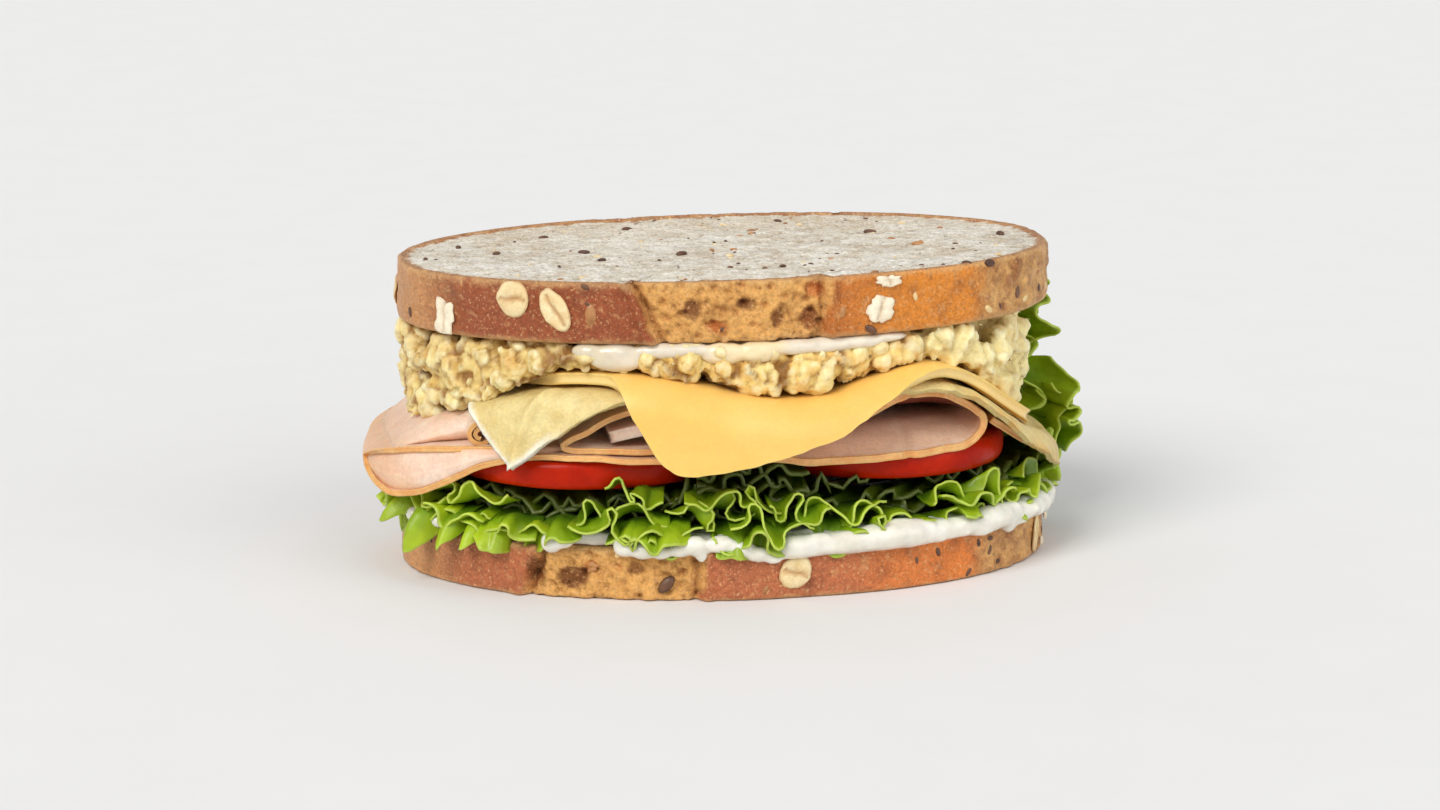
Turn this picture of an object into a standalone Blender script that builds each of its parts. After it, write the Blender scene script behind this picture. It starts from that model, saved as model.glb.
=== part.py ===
"""Stacked sandwich on seeded bread: two oval slices around sauce, lettuce, tomato, folded ham,
a thin egg sheet, a cheese slice and a chunky chicken salad.

Run with: blender --background --python part.py

Lengths here are in millimetres, and mesh_object() and the curves write metres. +Z is up, X runs
along the loaf's long side and the front is at -Y. Most fillings are slabs: a grid of plan points
lifted to a lower and an upper surface, which share the profile ham_top() so that they nest.
"""

import math

import bmesh
import bpy
import numpy as np
from mathutils import Vector

MM = 0.001
GAP = 0.3  # between pieces that touch

# The loaf's oval section, which both slices share.
LOAF_HALF_LENGTH = 77.0
LOAF_HALF_DEPTH = 49.5
LOAF_SQUARENESS = 2.08
TEAR_DEPTH = 1.6  # where the crust burst open in the oven

# The stack's levels, from the table up.
LOWER_SLICE_TOP = 12.0
LOWER_SAUCE_TOP = 16.0
LETTUCE_TOP = 24.9
LETTUCE_END_DIP = 5.2
LETTUCE_EDGE = 0.4  # from the outline to where the heap starts to bend down
LETTUCE_BEND = 6.0
LETTUCE_RIM = 3.0  # thickness
LETTUCE_LONG_SIDE = math.radians(-132)  # where the rim hangs lowest
TOMATO_TOP = 31.4
UPPER_SAUCE_BOTTOM = 56.2
UPPER_SLICE_BOTTOM = 59.5
UPPER_SLICE_TOP = 73.5
UPPER_TILT = math.radians(0.9)  # the upper slice and its sauce rise to the right
TOMATO_BOTTOM = LETTUCE_TOP + GAP
HAM_BOTTOM = TOMATO_TOP + GAP

# Sheet thicknesses.
HAM_THICKNESS = 1.7
EGG_THICKNESS = 1.6
CHEESE_THICKNESS = 2.6

# Heights of the sheets' undersides over ham_top(), with room for their facets.
EGG_LIFT = 0.5
CHEESE_LIFT = EGG_LIFT + EGG_THICKNESS + 1.1
SALAD_LIFT = CHEESE_LIFT + CHEESE_THICKNESS + 1.6

# Top of the folded ham along X: a dome on the left, a dip, and the roll on the right.
HAM_TOP_KNOTS = (
    (-86, 26.5), (-81, 32.0), (-75, 37.5), (-66, 42.5), (-56, 44.4), (-42, 46.2), (-26, 46.4),
    (-12, 43.9), (2, 40.9), (16, 41.1), (27, 44.0), (36, 46.3), (43, 46.3), (50, 43.4),
    (60, 36.1), (68, 30.5), (77, 25.0), (90, 20.0),
)  # fmt: skip

# Where a draped sheet starts to bend down, outside the loaf's outline, and its inner bend.
DRAPE_START = -1.2
DRAPE_RADIUS = 3.0
DRAPE_ARC = 5.0
DRAPE_ANGLE = math.radians(85)

# Tomato slices: centre x, centre y, radius.
TOMATO_LEFT = (-33.5, -7.5, 33.0)
TOMATO_RIGHT = (32.0, -8.0, 31.0)
TOMATO_HALF_FRONT = 27.0  # the two back slices are cut off flat here
TOMATO_EDGE_ROUND = 1.4

# Corners of the cheese slice laid flat, and how far its sides bow out.
CHEESE_CORNERS = tuple(Vector(c) for c in ((-24.5, -64.5), (75.5, -14.0), (33.0, 69.0), (-65.0, 18.0)))
CHEESE_BOW = 6.0

# How far the egg sheet reaches past the loaf's outline, by compass angle in degrees.
EGG_REACH_KNOTS = (
    (-180, -14.0), (-165, -12.0), (-154, 0.5), (-143, 17.5), (-132, 8.0), (-121, 1.0),
    (-105, -2.0), (-80, -3.0), (-60, 1.0), (-43, 3.5), (-30, 5.0), (-18, 8.0), (-6, 10.0),
    (2, 6.0), (12, -1.0), (35, 4.0), (60, 6.0), (90, 1.0), (125, 8.0), (150, -2.0), (180, -14.0),
)  # fmt: skip

# The folded ham at the front and back ends is set in from the outline by this much.
HAM_INSET = 1.5

# Profiles of the two folds, as (x, height above the lower leaf), up to where each meets ham_top().
HAM_CENTRE_BEND = ((-3, 0), (-14, 0), (-28, 0), (-38, 0), (-41.5, 0), (-43, 0.6), (-41.6, 1.9))
HAM_ROLL_BEND = ((3, 0), (16, 0), (32, 0), (46, 0), (52.5, 1.0), (55.0, 3.4), (54.6, 6.4))
HAM_ROLL_END = ((26, 8.85), (18, 4.85), (9, 2.85))

# The standing leaf: the compass angles that it spans, its height and thickness.
LEAF_SPAN = (math.radians(8), math.radians(36))
LEAF_HEIGHT = 60.0
LEAF_THICKNESS = 1.8

# The tomato end slices at the back: radius and centre y.
TOMATO_BACK_RADIUS = 32.0
TOMATO_BACK_Y = 9.0

# Sauce edges: how many lobes go round the slice, and their depth.
LOWER_SAUCE_LOBES, LOWER_SAUCE_DEPTH = 18, 1.0
UPPER_SAUCE_LOBES, UPPER_SAUCE_DEPTH = 16, 0.8

# How far the left ham folds reach past the outline, by angle away from the left end.
HAM_REACH_KNOTS = ((0, 8.5), (14, 8.0), (24, 4.5), (34, 1.0), (60, 0.3), (180, 0.3))

SLAB_GRID = 18


def smooth_curve(knots):
    """A smooth function through (x, y) knots: cubic pieces with averaged slopes."""
    xs = np.array([knot[0] for knot in knots], float)
    ys = np.array([knot[1] for knot in knots], float)
    slopes = np.gradient(ys, xs)

    def value(x):
        x = min(max(x, xs[0]), xs[-1])
        i = int(min(max(np.searchsorted(xs, x) - 1, 0), len(xs) - 2))
        span = xs[i + 1] - xs[i]
        t = (x - xs[i]) / span
        start = (1 + 2 * t) * (1 - t) ** 2 * ys[i] + t * (1 - t) ** 2 * span * slopes[i]
        end = t * t * (3 - 2 * t) * ys[i + 1] + t * t * (t - 1) * span * slopes[i + 1]
        return float(start + end)

    return value


def smoothstep(t):
    t = min(max(t, 0.0), 1.0)
    return t * t * (3 - 2 * t)


ham_top = smooth_curve(HAM_TOP_KNOTS)
egg_reach = smooth_curve(EGG_REACH_KNOTS)
left_ham_reach = smooth_curve(HAM_REACH_KNOTS)


def outline_radius(angle):
    """Distance from the loaf's centre to its outline, a slightly squared oval."""
    c = abs(math.cos(angle)) / LOAF_HALF_LENGTH
    s = abs(math.sin(angle)) / LOAF_HALF_DEPTH
    return (c**LOAF_SQUARENESS + s**LOAF_SQUARENESS) ** (-1 / LOAF_SQUARENESS)


def overshoot(x, y):
    """How far a plan point lies outside the outline, along its radius."""
    return math.hypot(x, y) - outline_radius(math.atan2(y, x))


def lettuce_top(x):
    """The lettuce is pressed flatter at the loaf's two ends."""
    return LETTUCE_TOP - LETTUCE_END_DIP * smoothstep((abs(x) - 60) / 18)


# Materials


def material(name, colour, roughness, metallic=0.0):
    made = bpy.data.materials.new(name)
    made.use_nodes = True
    shader = made.node_tree.nodes["Principled BSDF"]
    shader.inputs["Base Color"].default_value = (*colour, 1.0)
    shader.inputs["Roughness"].default_value = roughness
    shader.inputs["Metallic"].default_value = metallic
    return made


def make_materials():
    return {
        "bread": material("bread", (0.55, 0.28, 0.10), 0.8),
        "sauce": material("sauce", (0.90, 0.88, 0.80), 0.3),
        "lettuce": material("lettuce", (0.16, 0.38, 0.03), 0.45),
        "tomato": material("tomato", (0.70, 0.06, 0.02), 0.25),
        "ham": material("ham", (0.85, 0.48, 0.32), 0.4),
        "egg": material("egg", (0.88, 0.75, 0.36), 0.5),
        "cheese": material("cheese", (0.93, 0.56, 0.14), 0.4),
        "salad": material("salad", (0.85, 0.70, 0.34), 0.6),
    }


# Making objects


def finish(obj, name, surface, collection):
    obj.name = name
    obj.data.name = name
    obj.data.materials.append(surface)
    collection.objects.link(obj)
    return obj


def mesh_object(name, points, faces, surface, collection):
    mesh = bpy.data.meshes.new(name)
    mesh.from_pydata([Vector(p) * MM for p in points], [], faces)
    build = bmesh.new()
    build.from_mesh(mesh)
    bmesh.ops.recalc_face_normals(build, faces=build.faces)
    build.to_mesh(mesh)
    build.free()
    mesh.shade_smooth()
    mesh.set_sharp_from_angle(angle=math.radians(40))
    return finish(bpy.data.objects.new(name, mesh), name, surface, collection)


def slab(name, lower, upper, surface, collection):
    """A closed solid between two grids of points with the same number of rows and columns."""
    rows, columns = len(lower), len(lower[0])
    per_side = rows * columns
    points = [p for grid in (lower, upper) for row in grid for p in row]

    def at(side, i, j):
        return side * per_side + i * columns + j

    faces = []
    for i in range(rows - 1):
        for j in range(columns - 1):
            for side in (0, 1):
                corners = [at(side, i, j), at(side, i, j + 1), at(side, i + 1, j + 1), at(side, i + 1, j)]
                faces.append(corners if side else corners[::-1])
    rim = [(0, j) for j in range(columns - 1)]
    rim += [(i, columns - 1) for i in range(rows - 1)]
    rim += [(rows - 1, j) for j in range(columns - 1, 0, -1)]
    rim += [(i, 0) for i in range(rows - 1, 0, -1)]
    for k, here in enumerate(rim):
        there = rim[(k + 1) % len(rim)]
        faces.append([at(0, *here), at(0, *there), at(1, *there), at(1, *here)])
    return mesh_object(name, points, faces, surface, collection)


def disc_plan(centre, reach, count=SLAB_GRID):
    """Grid rows of (x, y, fraction of the way out) that fill a round outline about centre.

    reach(angle) is the outline's distance from centre."""
    rows = []
    for i in range(count + 1):
        row = []
        for j in range(count + 1):
            u, v = 2 * i / count - 1, 2 * j / count - 1
            dx, dy = u * math.sqrt(1 - v * v / 2), v * math.sqrt(1 - u * u / 2)
            fraction = min(math.hypot(dx, dy), 1.0)
            angle = math.atan2(dy, dx)
            radius = reach(angle) * fraction
            x, y = centre[0] + radius * math.cos(angle), centre[1] + radius * math.sin(angle)
            row.append((x, y, fraction))
        rows.append(row)
    return rows


def lifted(plan, surface):
    """The plan's grid with each (x, y, fraction) turned to a point by surface()."""
    return [[surface(*spot) for spot in row] for row in plan]


def reach_to_outline(centre, longest, past):
    """A reach for disc_plan: longest(angle), cut short past(x, y) outside the loaf's outline."""

    def reach(angle):
        near, far = 0.0, longest(angle)
        direction = (math.cos(angle), math.sin(angle))

        def outside(radius):
            x, y = centre[0] + radius * direction[0], centre[1] + radius * direction[1]
            return overshoot(x, y) > past(x, y)

        if not outside(far):
            return far
        for _ in range(24):
            middle = (near + far) / 2
            if outside(middle):
                far = middle
            else:
                near = middle
        return near

    return reach


def draped(x, y, lift, height=ham_top, start=DRAPE_START, radius=DRAPE_RADIUS):
    """A sheet's point: lying on height(x) inside the outline, and bent down past it."""
    angle = math.atan2(y, x)
    edge = outline_radius(angle) + start
    past = math.hypot(x, y) - edge
    if past <= 0:
        return (x, y, height(x) + lift)
    bend = min(past / DRAPE_ARC, DRAPE_ANGLE)
    rest = past - DRAPE_ARC * bend
    out = (radius + lift) * math.sin(bend) + rest * math.cos(DRAPE_ANGLE)
    drop = (radius + lift) * (1 - math.cos(bend)) + rest * math.sin(DRAPE_ANGLE)
    x_edge, y_edge = edge * math.cos(angle), edge * math.sin(angle)
    return (
        x_edge + out * math.cos(angle),
        y_edge + out * math.sin(angle),
        height(x_edge) + lift - drop,
    )


def flat_layer(name, outline, bottom, top, rounding, surface, collection, tilt=0.0):
    """A flat-faced layer with rounded edges, as an extruded 2D curve, tilted up to the right."""
    curve = bpy.data.curves.new(name, "CURVE")
    curve.dimensions = "2D"
    curve.fill_mode = "BOTH"
    curve.extrude = ((top - bottom) / 2 - rounding) * MM
    curve.bevel_depth = rounding * MM
    curve.bevel_resolution = 0
    curve.offset = -rounding * MM
    line = curve.splines.new("POLY")
    line.points.add(len(outline) - 1)
    for point, (x, y) in zip(line.points, outline):
        point.co = (x * MM, y * MM, 0.0, 1.0)
    line.use_cyclic_u = True
    obj = finish(bpy.data.objects.new(name, curve), name, surface, collection)
    obj.location.z = (bottom + top) / 2 * MM
    obj.rotation_euler.y = -tilt
    return obj


def loop_of(radius, count):
    """Outline points, one turn at radius(angle)."""
    angles = [2 * math.pi * k / count for k in range(count)]
    return [(radius(a) * math.cos(a), radius(a) * math.sin(a)) for a in angles]


# The pieces


def bread_slice(name, bottom, top, tear_from, tear_to, surface, collection, tilt=0.0):
    """A slice whose front crust is set back along the tear, from one x to another."""

    def radius(angle):
        full = outline_radius(angle)
        x = full * math.cos(angle)
        in_tear = math.sin(angle) < 0 and tear_from < x < tear_to
        return full - (TEAR_DEPTH if in_tear else 0.0)

    return flat_layer(name, loop_of(radius, 96), bottom, top, 0.6, surface, collection, tilt)


def sauce_layer(name, bottom, top, inset, lobes, lobe_depth, surface, collection, tilt=0.0):
    """Spread sauce with a lobed edge. inset(angle) is how far inside the outline it ends."""

    def radius(angle):
        wave = math.sin(lobes * angle) + 0.6 * math.sin((lobes - 5) * angle + 1.0)
        return outline_radius(angle) - inset(angle) + lobe_depth * wave

    return flat_layer(name, loop_of(radius, 100), bottom, top, 1.3, surface, collection, tilt)


def upper_sauce_inset(angle):
    """The upper sauce shows only along the middle of the front."""
    from_front = abs(math.remainder(angle + math.pi / 2, 2 * math.pi))
    return 0.2 + 7.0 * smoothstep((from_front - 0.45) / 0.35)


def lettuce_bed(surface, collection):
    """The heap of frilled leaves, with a lobed rim that hangs over the slice below."""

    def reach(angle):
        lobes = 1.6 * math.sin(9 * angle + 0.4) + 1.2 * math.sin(14 * angle)
        front_left = 4.0 * math.cos(angle - LETTUCE_LONG_SIDE)
        return outline_radius(angle) + 8.8 + front_left + lobes

    def point(x, y, side):
        """side is -1 below and 1 above the heap's middle sheet, which bends down at the rim."""
        angle = math.atan2(y, x)
        edge = outline_radius(angle) + LETTUCE_EDGE
        past = max(math.hypot(x, y) - edge, 0.0)
        bend = min(past / LETTUCE_BEND, DRAPE_ANGLE)
        rest = past - LETTUCE_BEND * bend
        x_in, y_in = (x, y) if past == 0 else (edge * math.cos(angle), edge * math.sin(angle))
        low, high = LOWER_SAUCE_TOP + 3 * GAP, lettuce_top(x_in)
        full = (high - low) / 2
        half = full + (LETTUCE_RIM / 2 - full) * smoothstep(past / 9)
        out = (LETTUCE_BEND + side * half) * math.sin(bend) + rest * math.cos(bend)
        drop = LETTUCE_BEND * (1 - math.cos(bend)) + rest * math.sin(bend) - side * half * math.cos(bend)
        return (x_in + out * math.cos(angle), y_in + out * math.sin(angle), (low + high) / 2 - drop)

    plan = disc_plan((0, 0), reach)
    lower = lifted(plan, lambda x, y, _: point(x, y, -1))
    upper = lifted(plan, lambda x, y, _: point(x, y, 1))
    return slab("lettuce_bed", lower, upper, surface, collection)


def lettuce_side_leaf(surface, collection):
    """The frilled leaf that stands up past the fillings at the right-hand end."""
    first, last = LEAF_SPAN
    columns, rows = 12, 8

    def point(i, j, side):
        along, up = j / columns, i / rows
        angle = first + (last - first) * along
        wave = 1.9 * math.sin(3.2 * math.pi * along + 2.0 * up) * (0.3 + 0.7 * up)
        lean = 8.6 + 3.5 * math.cos(math.pi * (1.3 * up - 0.2))
        radius = outline_radius(angle) + lean + wave + side * LEAF_THICKNESS
        top = LEAF_HEIGHT - 7.0 * abs(along - 0.3) - 2.0 * math.sin(6 * math.pi * along) ** 2
        low = lettuce_top(radius * math.cos(angle)) + 1.5
        return (radius * math.cos(angle), radius * math.sin(angle), low + (top - low) * up)

    sides = [[[point(i, j, side) for j in range(columns + 1)] for i in range(rows + 1)] for side in (0, 1)]
    return slab("lettuce_side_leaf", *sides, surface, collection)


def tomato_slice(name, place, surface, collection):
    """A whole slice: a turned profile with a rounded skin edge."""
    x, y, radius = place
    half = (TOMATO_TOP - TOMATO_BOTTOM) / 2
    corner = TOMATO_EDGE_ROUND
    profile = [(0.0, half), (radius - corner, half), (radius, half - corner)]
    profile += [(radius, corner - half), (radius - corner, -half), (0.0, -half)]
    mesh = bpy.data.meshes.new(name)
    edges = [(k, k + 1) for k in range(len(profile) - 1)]
    mesh.from_pydata([(r * MM, 0.0, z * MM) for r, z in profile], edges, [])
    obj = finish(bpy.data.objects.new(name, mesh), name, surface, collection)
    turn = obj.modifiers.new("turn", "SCREW")
    turn.steps = turn.render_steps = 40
    turn.use_merge_vertices = True
    turn.merge_threshold = 0.00001
    obj.location = (x * MM, y * MM, (TOMATO_TOP + TOMATO_BOTTOM) / 2 * MM)
    return obj


def tomato_half(name, centre_x, surface, collection):
    """An end slice at the back, cut off flat where the front slice lies."""
    radius, steps = TOMATO_BACK_RADIUS, 14
    half_angle = math.acos((TOMATO_HALF_FRONT - TOMATO_BACK_Y) / radius)
    outline = []
    for k in range(steps + 1):
        angle = math.pi / 2 - half_angle + 2 * half_angle * k / steps
        outline.append((centre_x + radius * math.cos(angle), TOMATO_BACK_Y + radius * math.sin(angle)))
    return flat_layer(name, outline, TOMATO_BOTTOM, TOMATO_TOP, 0.5, surface, collection)


def tomato_gap(x, y):
    """How far a plan point is from the left-hand tomato slices."""
    cx, cy, radius = TOMATO_LEFT
    from_whole = math.hypot(x - cx, y - cy) - radius
    from_half = max(cx - 28 - x, 15 - y)
    return min(from_whole, from_half)


def left_ham_past(x, y):
    """The ham's reach past the outline, which is long only at the left-hand end."""
    return left_ham_reach(math.degrees(math.pi - abs(math.atan2(y, x))))


def left_ham_underside(x, y):
    low = lettuce_top(x) + 2 * GAP
    return HAM_BOTTOM - (HAM_BOTTOM - low) * smoothstep((tomato_gap(x, y) - 3.5) / 9)


def left_ham_split(x):
    """The level between the left ham's two folds: it climbs to the right."""
    return 33.4 - 6.4 * smoothstep((-66 - x) / 18)


def centre_ham_level(x):
    """Middle of the centre fold's upper leaf, which rises to the ham's top."""
    share = smoothstep((x + 44) / 22)
    return 34.9 * (1 - share) + (ham_top(x) - HAM_THICKNESS / 2 - 0.6) * share


def ham_left_lower(surface, collection):
    """The puffed lower fold at the left end, thin where it runs in over the tomato."""

    def longest(angle):
        return 43.5 if math.cos(angle) < 0 else 38.0 + 2.0 * math.cos(angle)

    centre = (-42.0, 0.0)
    plan = disc_plan(centre, reach_to_outline(centre, longest, left_ham_past), 12)

    def side(level):
        def surface_point(x, y, fraction):
            low, high = left_ham_underside(x, y), left_ham_split(x)
            middle = (low + high) / 2
            return (x, y, middle + (level(low, high) - middle) * math.sqrt(1 - 0.9 * fraction**10))

        return surface_point

    lower = lifted(plan, side(lambda low, high: low))
    upper = lifted(plan, side(lambda low, high: high))
    return slab("ham_left_lower", lower, upper, surface, collection)


def ham_left_upper(surface, collection):
    """The domed upper fold, which thins to an edge over the centre fold."""

    def longest(angle):
        return 28.0

    centre = (-57.0, 0.0)
    plan = disc_plan(centre, reach_to_outline(centre, longest, lambda x, y: left_ham_past(x, y) - 1.5), 12)

    def lower_point(x, y, _):
        over_centre = centre_ham_level(x) + HAM_THICKNESS + 1.0 if x > -56 else 0.0
        return (x, y, max(left_ham_split(x) + GAP, over_centre))

    def upper_point(x, y, fraction):
        low = lower_point(x, y, fraction)[2]
        return (x, y, low + max(ham_top(x) - low, 0.8) * math.sqrt(1 - 0.8 * fraction**10))

    return slab("ham_left_upper", lifted(plan, lower_point), lifted(plan, upper_point), surface, collection)


def resampled(line, count):
    """Evenly spaced points along a smooth curve through a line of (x, z) points."""
    along = [0.0]
    for a, b in zip(line, line[1:]):
        along.append(along[-1] + math.dist(a, b))
    curves = [smooth_curve([(s, p[axis]) for s, p in zip(along, line)]) for axis in (0, 1)]
    steps = [along[-1] * k / count for k in range(count + 1)]
    return [tuple(curve(s) for curve in curves) for s in steps]


def front_line(x):
    """Y of the folded ham's front edge at x."""
    share = min(abs(x) / LOAF_HALF_LENGTH, 0.995)
    return -LOAF_HALF_DEPTH * (1 - share**LOAF_SQUARENESS) ** (1 / LOAF_SQUARENESS) + HAM_INSET


def folded_ham(name, line, count, surface, collection, rows=6):
    """A slice folded along a profile of (x, z) points, running from front to back."""
    centres = resampled(line, count)
    lower, upper = [], []
    for k, (x, z) in enumerate(centres):
        before, after = centres[max(k - 1, 0)], centres[min(k + 1, count)]
        tangent = Vector((after[0] - before[0], after[1] - before[1])).normalized()
        nx, nz = -tangent.y * HAM_THICKNESS / 2, tangent.x * HAM_THICKNESS / 2
        front = front_line(x)
        ys = [front + (-2 * front) * j / rows for j in range(rows + 1)]
        lower.append([(x - nx, y, z - nz) for y in ys])
        upper.append([(x + nx, y, z + nz) for y in ys])
    return slab(name, lower, upper, surface, collection)


def ham_centre(surface, collection):
    """A fold that opens to the right: a level leaf, a tight bend and a rising leaf."""
    level = left_ham_split(0) + GAP + HAM_THICKNESS / 2
    line = [(x, level + rise) for x, rise in HAM_CENTRE_BEND]
    line += [(x, centre_ham_level(x)) for x in (-36, -31, -26, -21, -12, -4)]
    return folded_ham("ham_centre", line, 26, surface, collection)


def ham_right(surface, collection):
    """The rolled slice: flat over the tomato, round the bend and back over itself."""
    level = HAM_BOTTOM + HAM_THICKNESS / 2
    under_top = HAM_THICKNESS / 2 + 0.9
    line = [(x, level + rise) for x, rise in HAM_ROLL_BEND]
    line.append((52.6, ham_top(52.6) - under_top - 0.9))
    line += [(x, ham_top(x) - under_top) for x in (47.5, 41, 34)]
    line += [(x, level + rise) for x, rise in HAM_ROLL_END]
    return folded_ham("ham_right", line, 34, surface, collection)


def ham_right_outer(surface, collection):
    """The outer leaf that falls away to the right beside the roll."""
    line = [(x, ham_top(x) - HAM_THICKNESS / 2 - 0.6) for x in (58.8, 62, 66, 70, 74)]
    return folded_ham("ham_right_outer", line, 8, surface, collection, rows=8)


def egg_sheet(surface, collection):
    """A thin omelette over the ham, with a corner that hangs at the front left."""

    def reach(angle):
        return outline_radius(angle) + egg_reach(math.degrees(math.remainder(angle, 2 * math.pi)))

    plan = disc_plan((0, 0), reach, 20)
    lower = lifted(plan, lambda x, y, _: draped(x, y, EGG_LIFT))
    upper = lifted(plan, lambda x, y, _: draped(x, y, EGG_LIFT + EGG_THICKNESS))
    return slab("egg_sheet", lower, upper, surface, collection)


def cheese_slice(surface, collection):
    """A square-cut slice, with one corner hanging at the front and one at the back."""
    count = 18
    front, right, back, left = CHEESE_CORNERS

    def spot(u, v):
        flat = (front * (1 - u) + right * u) * (1 - v) + (left * (1 - u) + back * u) * v
        bow_u, bow_v = 4 * u * (1 - u), 4 * v * (1 - v)
        across, along = (left - front).normalized(), (right - front).normalized()
        return flat + across * CHEESE_BOW * bow_u * (2 * v - 1) + along * CHEESE_BOW / 2 * bow_v * (2 * u - 1)

    plan = [[(*spot(i / count, j / count), 0.0) for j in range(count + 1)] for i in range(count + 1)]
    lower = lifted(plan, lambda x, y, _: draped(x, y, CHEESE_LIFT))
    upper = lifted(plan, lambda x, y, _: draped(x, y, CHEESE_LIFT + CHEESE_THICKNESS))
    return slab("cheese_slice", lower, upper, surface, collection)


def chicken_salad(surface, collection):
    """The chunky salad, from the sheets below up to the upper slice."""

    def reach(angle):
        lumps = 0.9 * math.sin(11 * angle) + 0.7 * math.sin(17 * angle + 2)
        return outline_radius(angle) - 3.0 + lumps

    def lower_point(x, y, _):
        share = smoothstep((x + 75) / 7)
        return (x, y, ham_top(x) + GAP + (SALAD_LIFT - GAP) * share)

    def upper_point(x, y, fraction):
        return (x, y, UPPER_SLICE_BOTTOM + x * math.tan(UPPER_TILT) - 2 * GAP - 1.0 * fraction**8)

    plan = disc_plan((0, 0), reach, 16)
    return slab("chicken_salad", lifted(plan, lower_point), lifted(plan, upper_point), surface, collection)


def as_mesh(obj):
    """A curve object made a mesh object, with its loose caps welded."""
    graph = bpy.context.evaluated_depsgraph_get()
    mesh = bpy.data.meshes.new_from_object(obj.evaluated_get(graph), depsgraph=graph)
    build = bmesh.new()
    build.from_mesh(mesh)
    bmesh.ops.remove_doubles(build, verts=build.verts, dist=1e-6)
    build.to_mesh(mesh)
    build.free()
    made = bpy.data.objects.new(obj.name, mesh)
    made.matrix_world = obj.matrix_world
    for collection in obj.users_collection:
        collection.objects.link(made)
    bpy.data.objects.remove(obj)
    return made


def cut_room_for_sauce(salad, surface, cutters):
    """Takes the upper sauce's bed out of the salad, a gap wider than the sauce."""
    cutter = sauce_layer(
        "upper_sauce_room", UPPER_SAUCE_BOTTOM - GAP, UPPER_SLICE_BOTTOM + 2.0,
        lambda angle: upper_sauce_inset(angle) - 1.2, UPPER_SAUCE_LOBES, UPPER_SAUCE_DEPTH,
        surface, cutters, UPPER_TILT,
    )  # fmt: skip
    bpy.context.view_layer.update()
    cutter = as_mesh(cutter)
    cutter.hide_render = True
    cutter.display_type = "WIRE"
    cut = salad.modifiers.new("sauce_room", "BOOLEAN")
    cut.operation = "DIFFERENCE"
    cut.object = cutter


def centre_on_origin(collection):
    """Moves every piece so that the box round them all is centred on X and Y."""
    bpy.context.view_layer.update()
    graph = bpy.context.evaluated_depsgraph_get()
    points = []
    for obj in collection.objects:
        evaluated = obj.evaluated_get(graph)
        points += [evaluated.matrix_world @ vertex.co for vertex in evaluated.to_mesh().vertices]
        evaluated.to_mesh_clear()
    middle = [(min(p[k] for p in points) + max(p[k] for p in points)) / 2 for k in (0, 1)]
    for obj in bpy.data.objects:
        obj.location.x -= middle[0]
        obj.location.y -= middle[1]


def main():
    for obj in list(bpy.data.objects):
        bpy.data.objects.remove(obj)
    parts = bpy.data.collections.new("sandwich")
    cutters = bpy.data.collections.new("cutters")
    for collection in (parts, cutters):
        bpy.context.scene.collection.children.link(collection)
    looks = make_materials()

    bread_slice("bread_bottom", 0.0, LOWER_SLICE_TOP, -50.0, -12.0, looks["bread"], parts)
    sauce_layer(
        "sauce_bottom", LOWER_SLICE_TOP + GAP, LOWER_SAUCE_TOP, lambda angle: -0.3,
        LOWER_SAUCE_LOBES, LOWER_SAUCE_DEPTH, looks["sauce"], parts,
    )  # fmt: skip
    lettuce_bed(looks["lettuce"], parts)
    lettuce_side_leaf(looks["lettuce"], parts)
    tomato_slice("tomato_left", TOMATO_LEFT, looks["tomato"], parts)
    tomato_slice("tomato_right", TOMATO_RIGHT, looks["tomato"], parts)
    tomato_half("tomato_back_left", -33.5, looks["tomato"], parts)
    tomato_half("tomato_back_right", 32.0, looks["tomato"], parts)
    ham_left_lower(looks["ham"], parts)
    ham_left_upper(looks["ham"], parts)
    ham_centre(looks["ham"], parts)
    ham_right(looks["ham"], parts)
    ham_right_outer(looks["ham"], parts)
    egg_sheet(looks["egg"], parts)
    cheese_slice(looks["cheese"], parts)
    salad = chicken_salad(looks["salad"], parts)
    sauce_layer(
        "sauce_top", UPPER_SAUCE_BOTTOM, UPPER_SLICE_BOTTOM - GAP, upper_sauce_inset,
        UPPER_SAUCE_LOBES, UPPER_SAUCE_DEPTH, looks["sauce"], parts, UPPER_TILT,
    )  # fmt: skip
    cut_room_for_sauce(salad, looks["sauce"], cutters)
    bread_slice("bread_top", UPPER_SLICE_BOTTOM, UPPER_SLICE_TOP, -27.0, 16.0, looks["bread"], parts, UPPER_TILT)
    centre_on_origin(parts)


main()
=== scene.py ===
"""Looks of the stacked sandwich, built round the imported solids.

Lengths are in millimetres from the loaf's centre on the table, and make_piece() writes metres.
+X runs along the loaf's long side, the front is at -Y and +Z is up.
"""

import math

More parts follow.
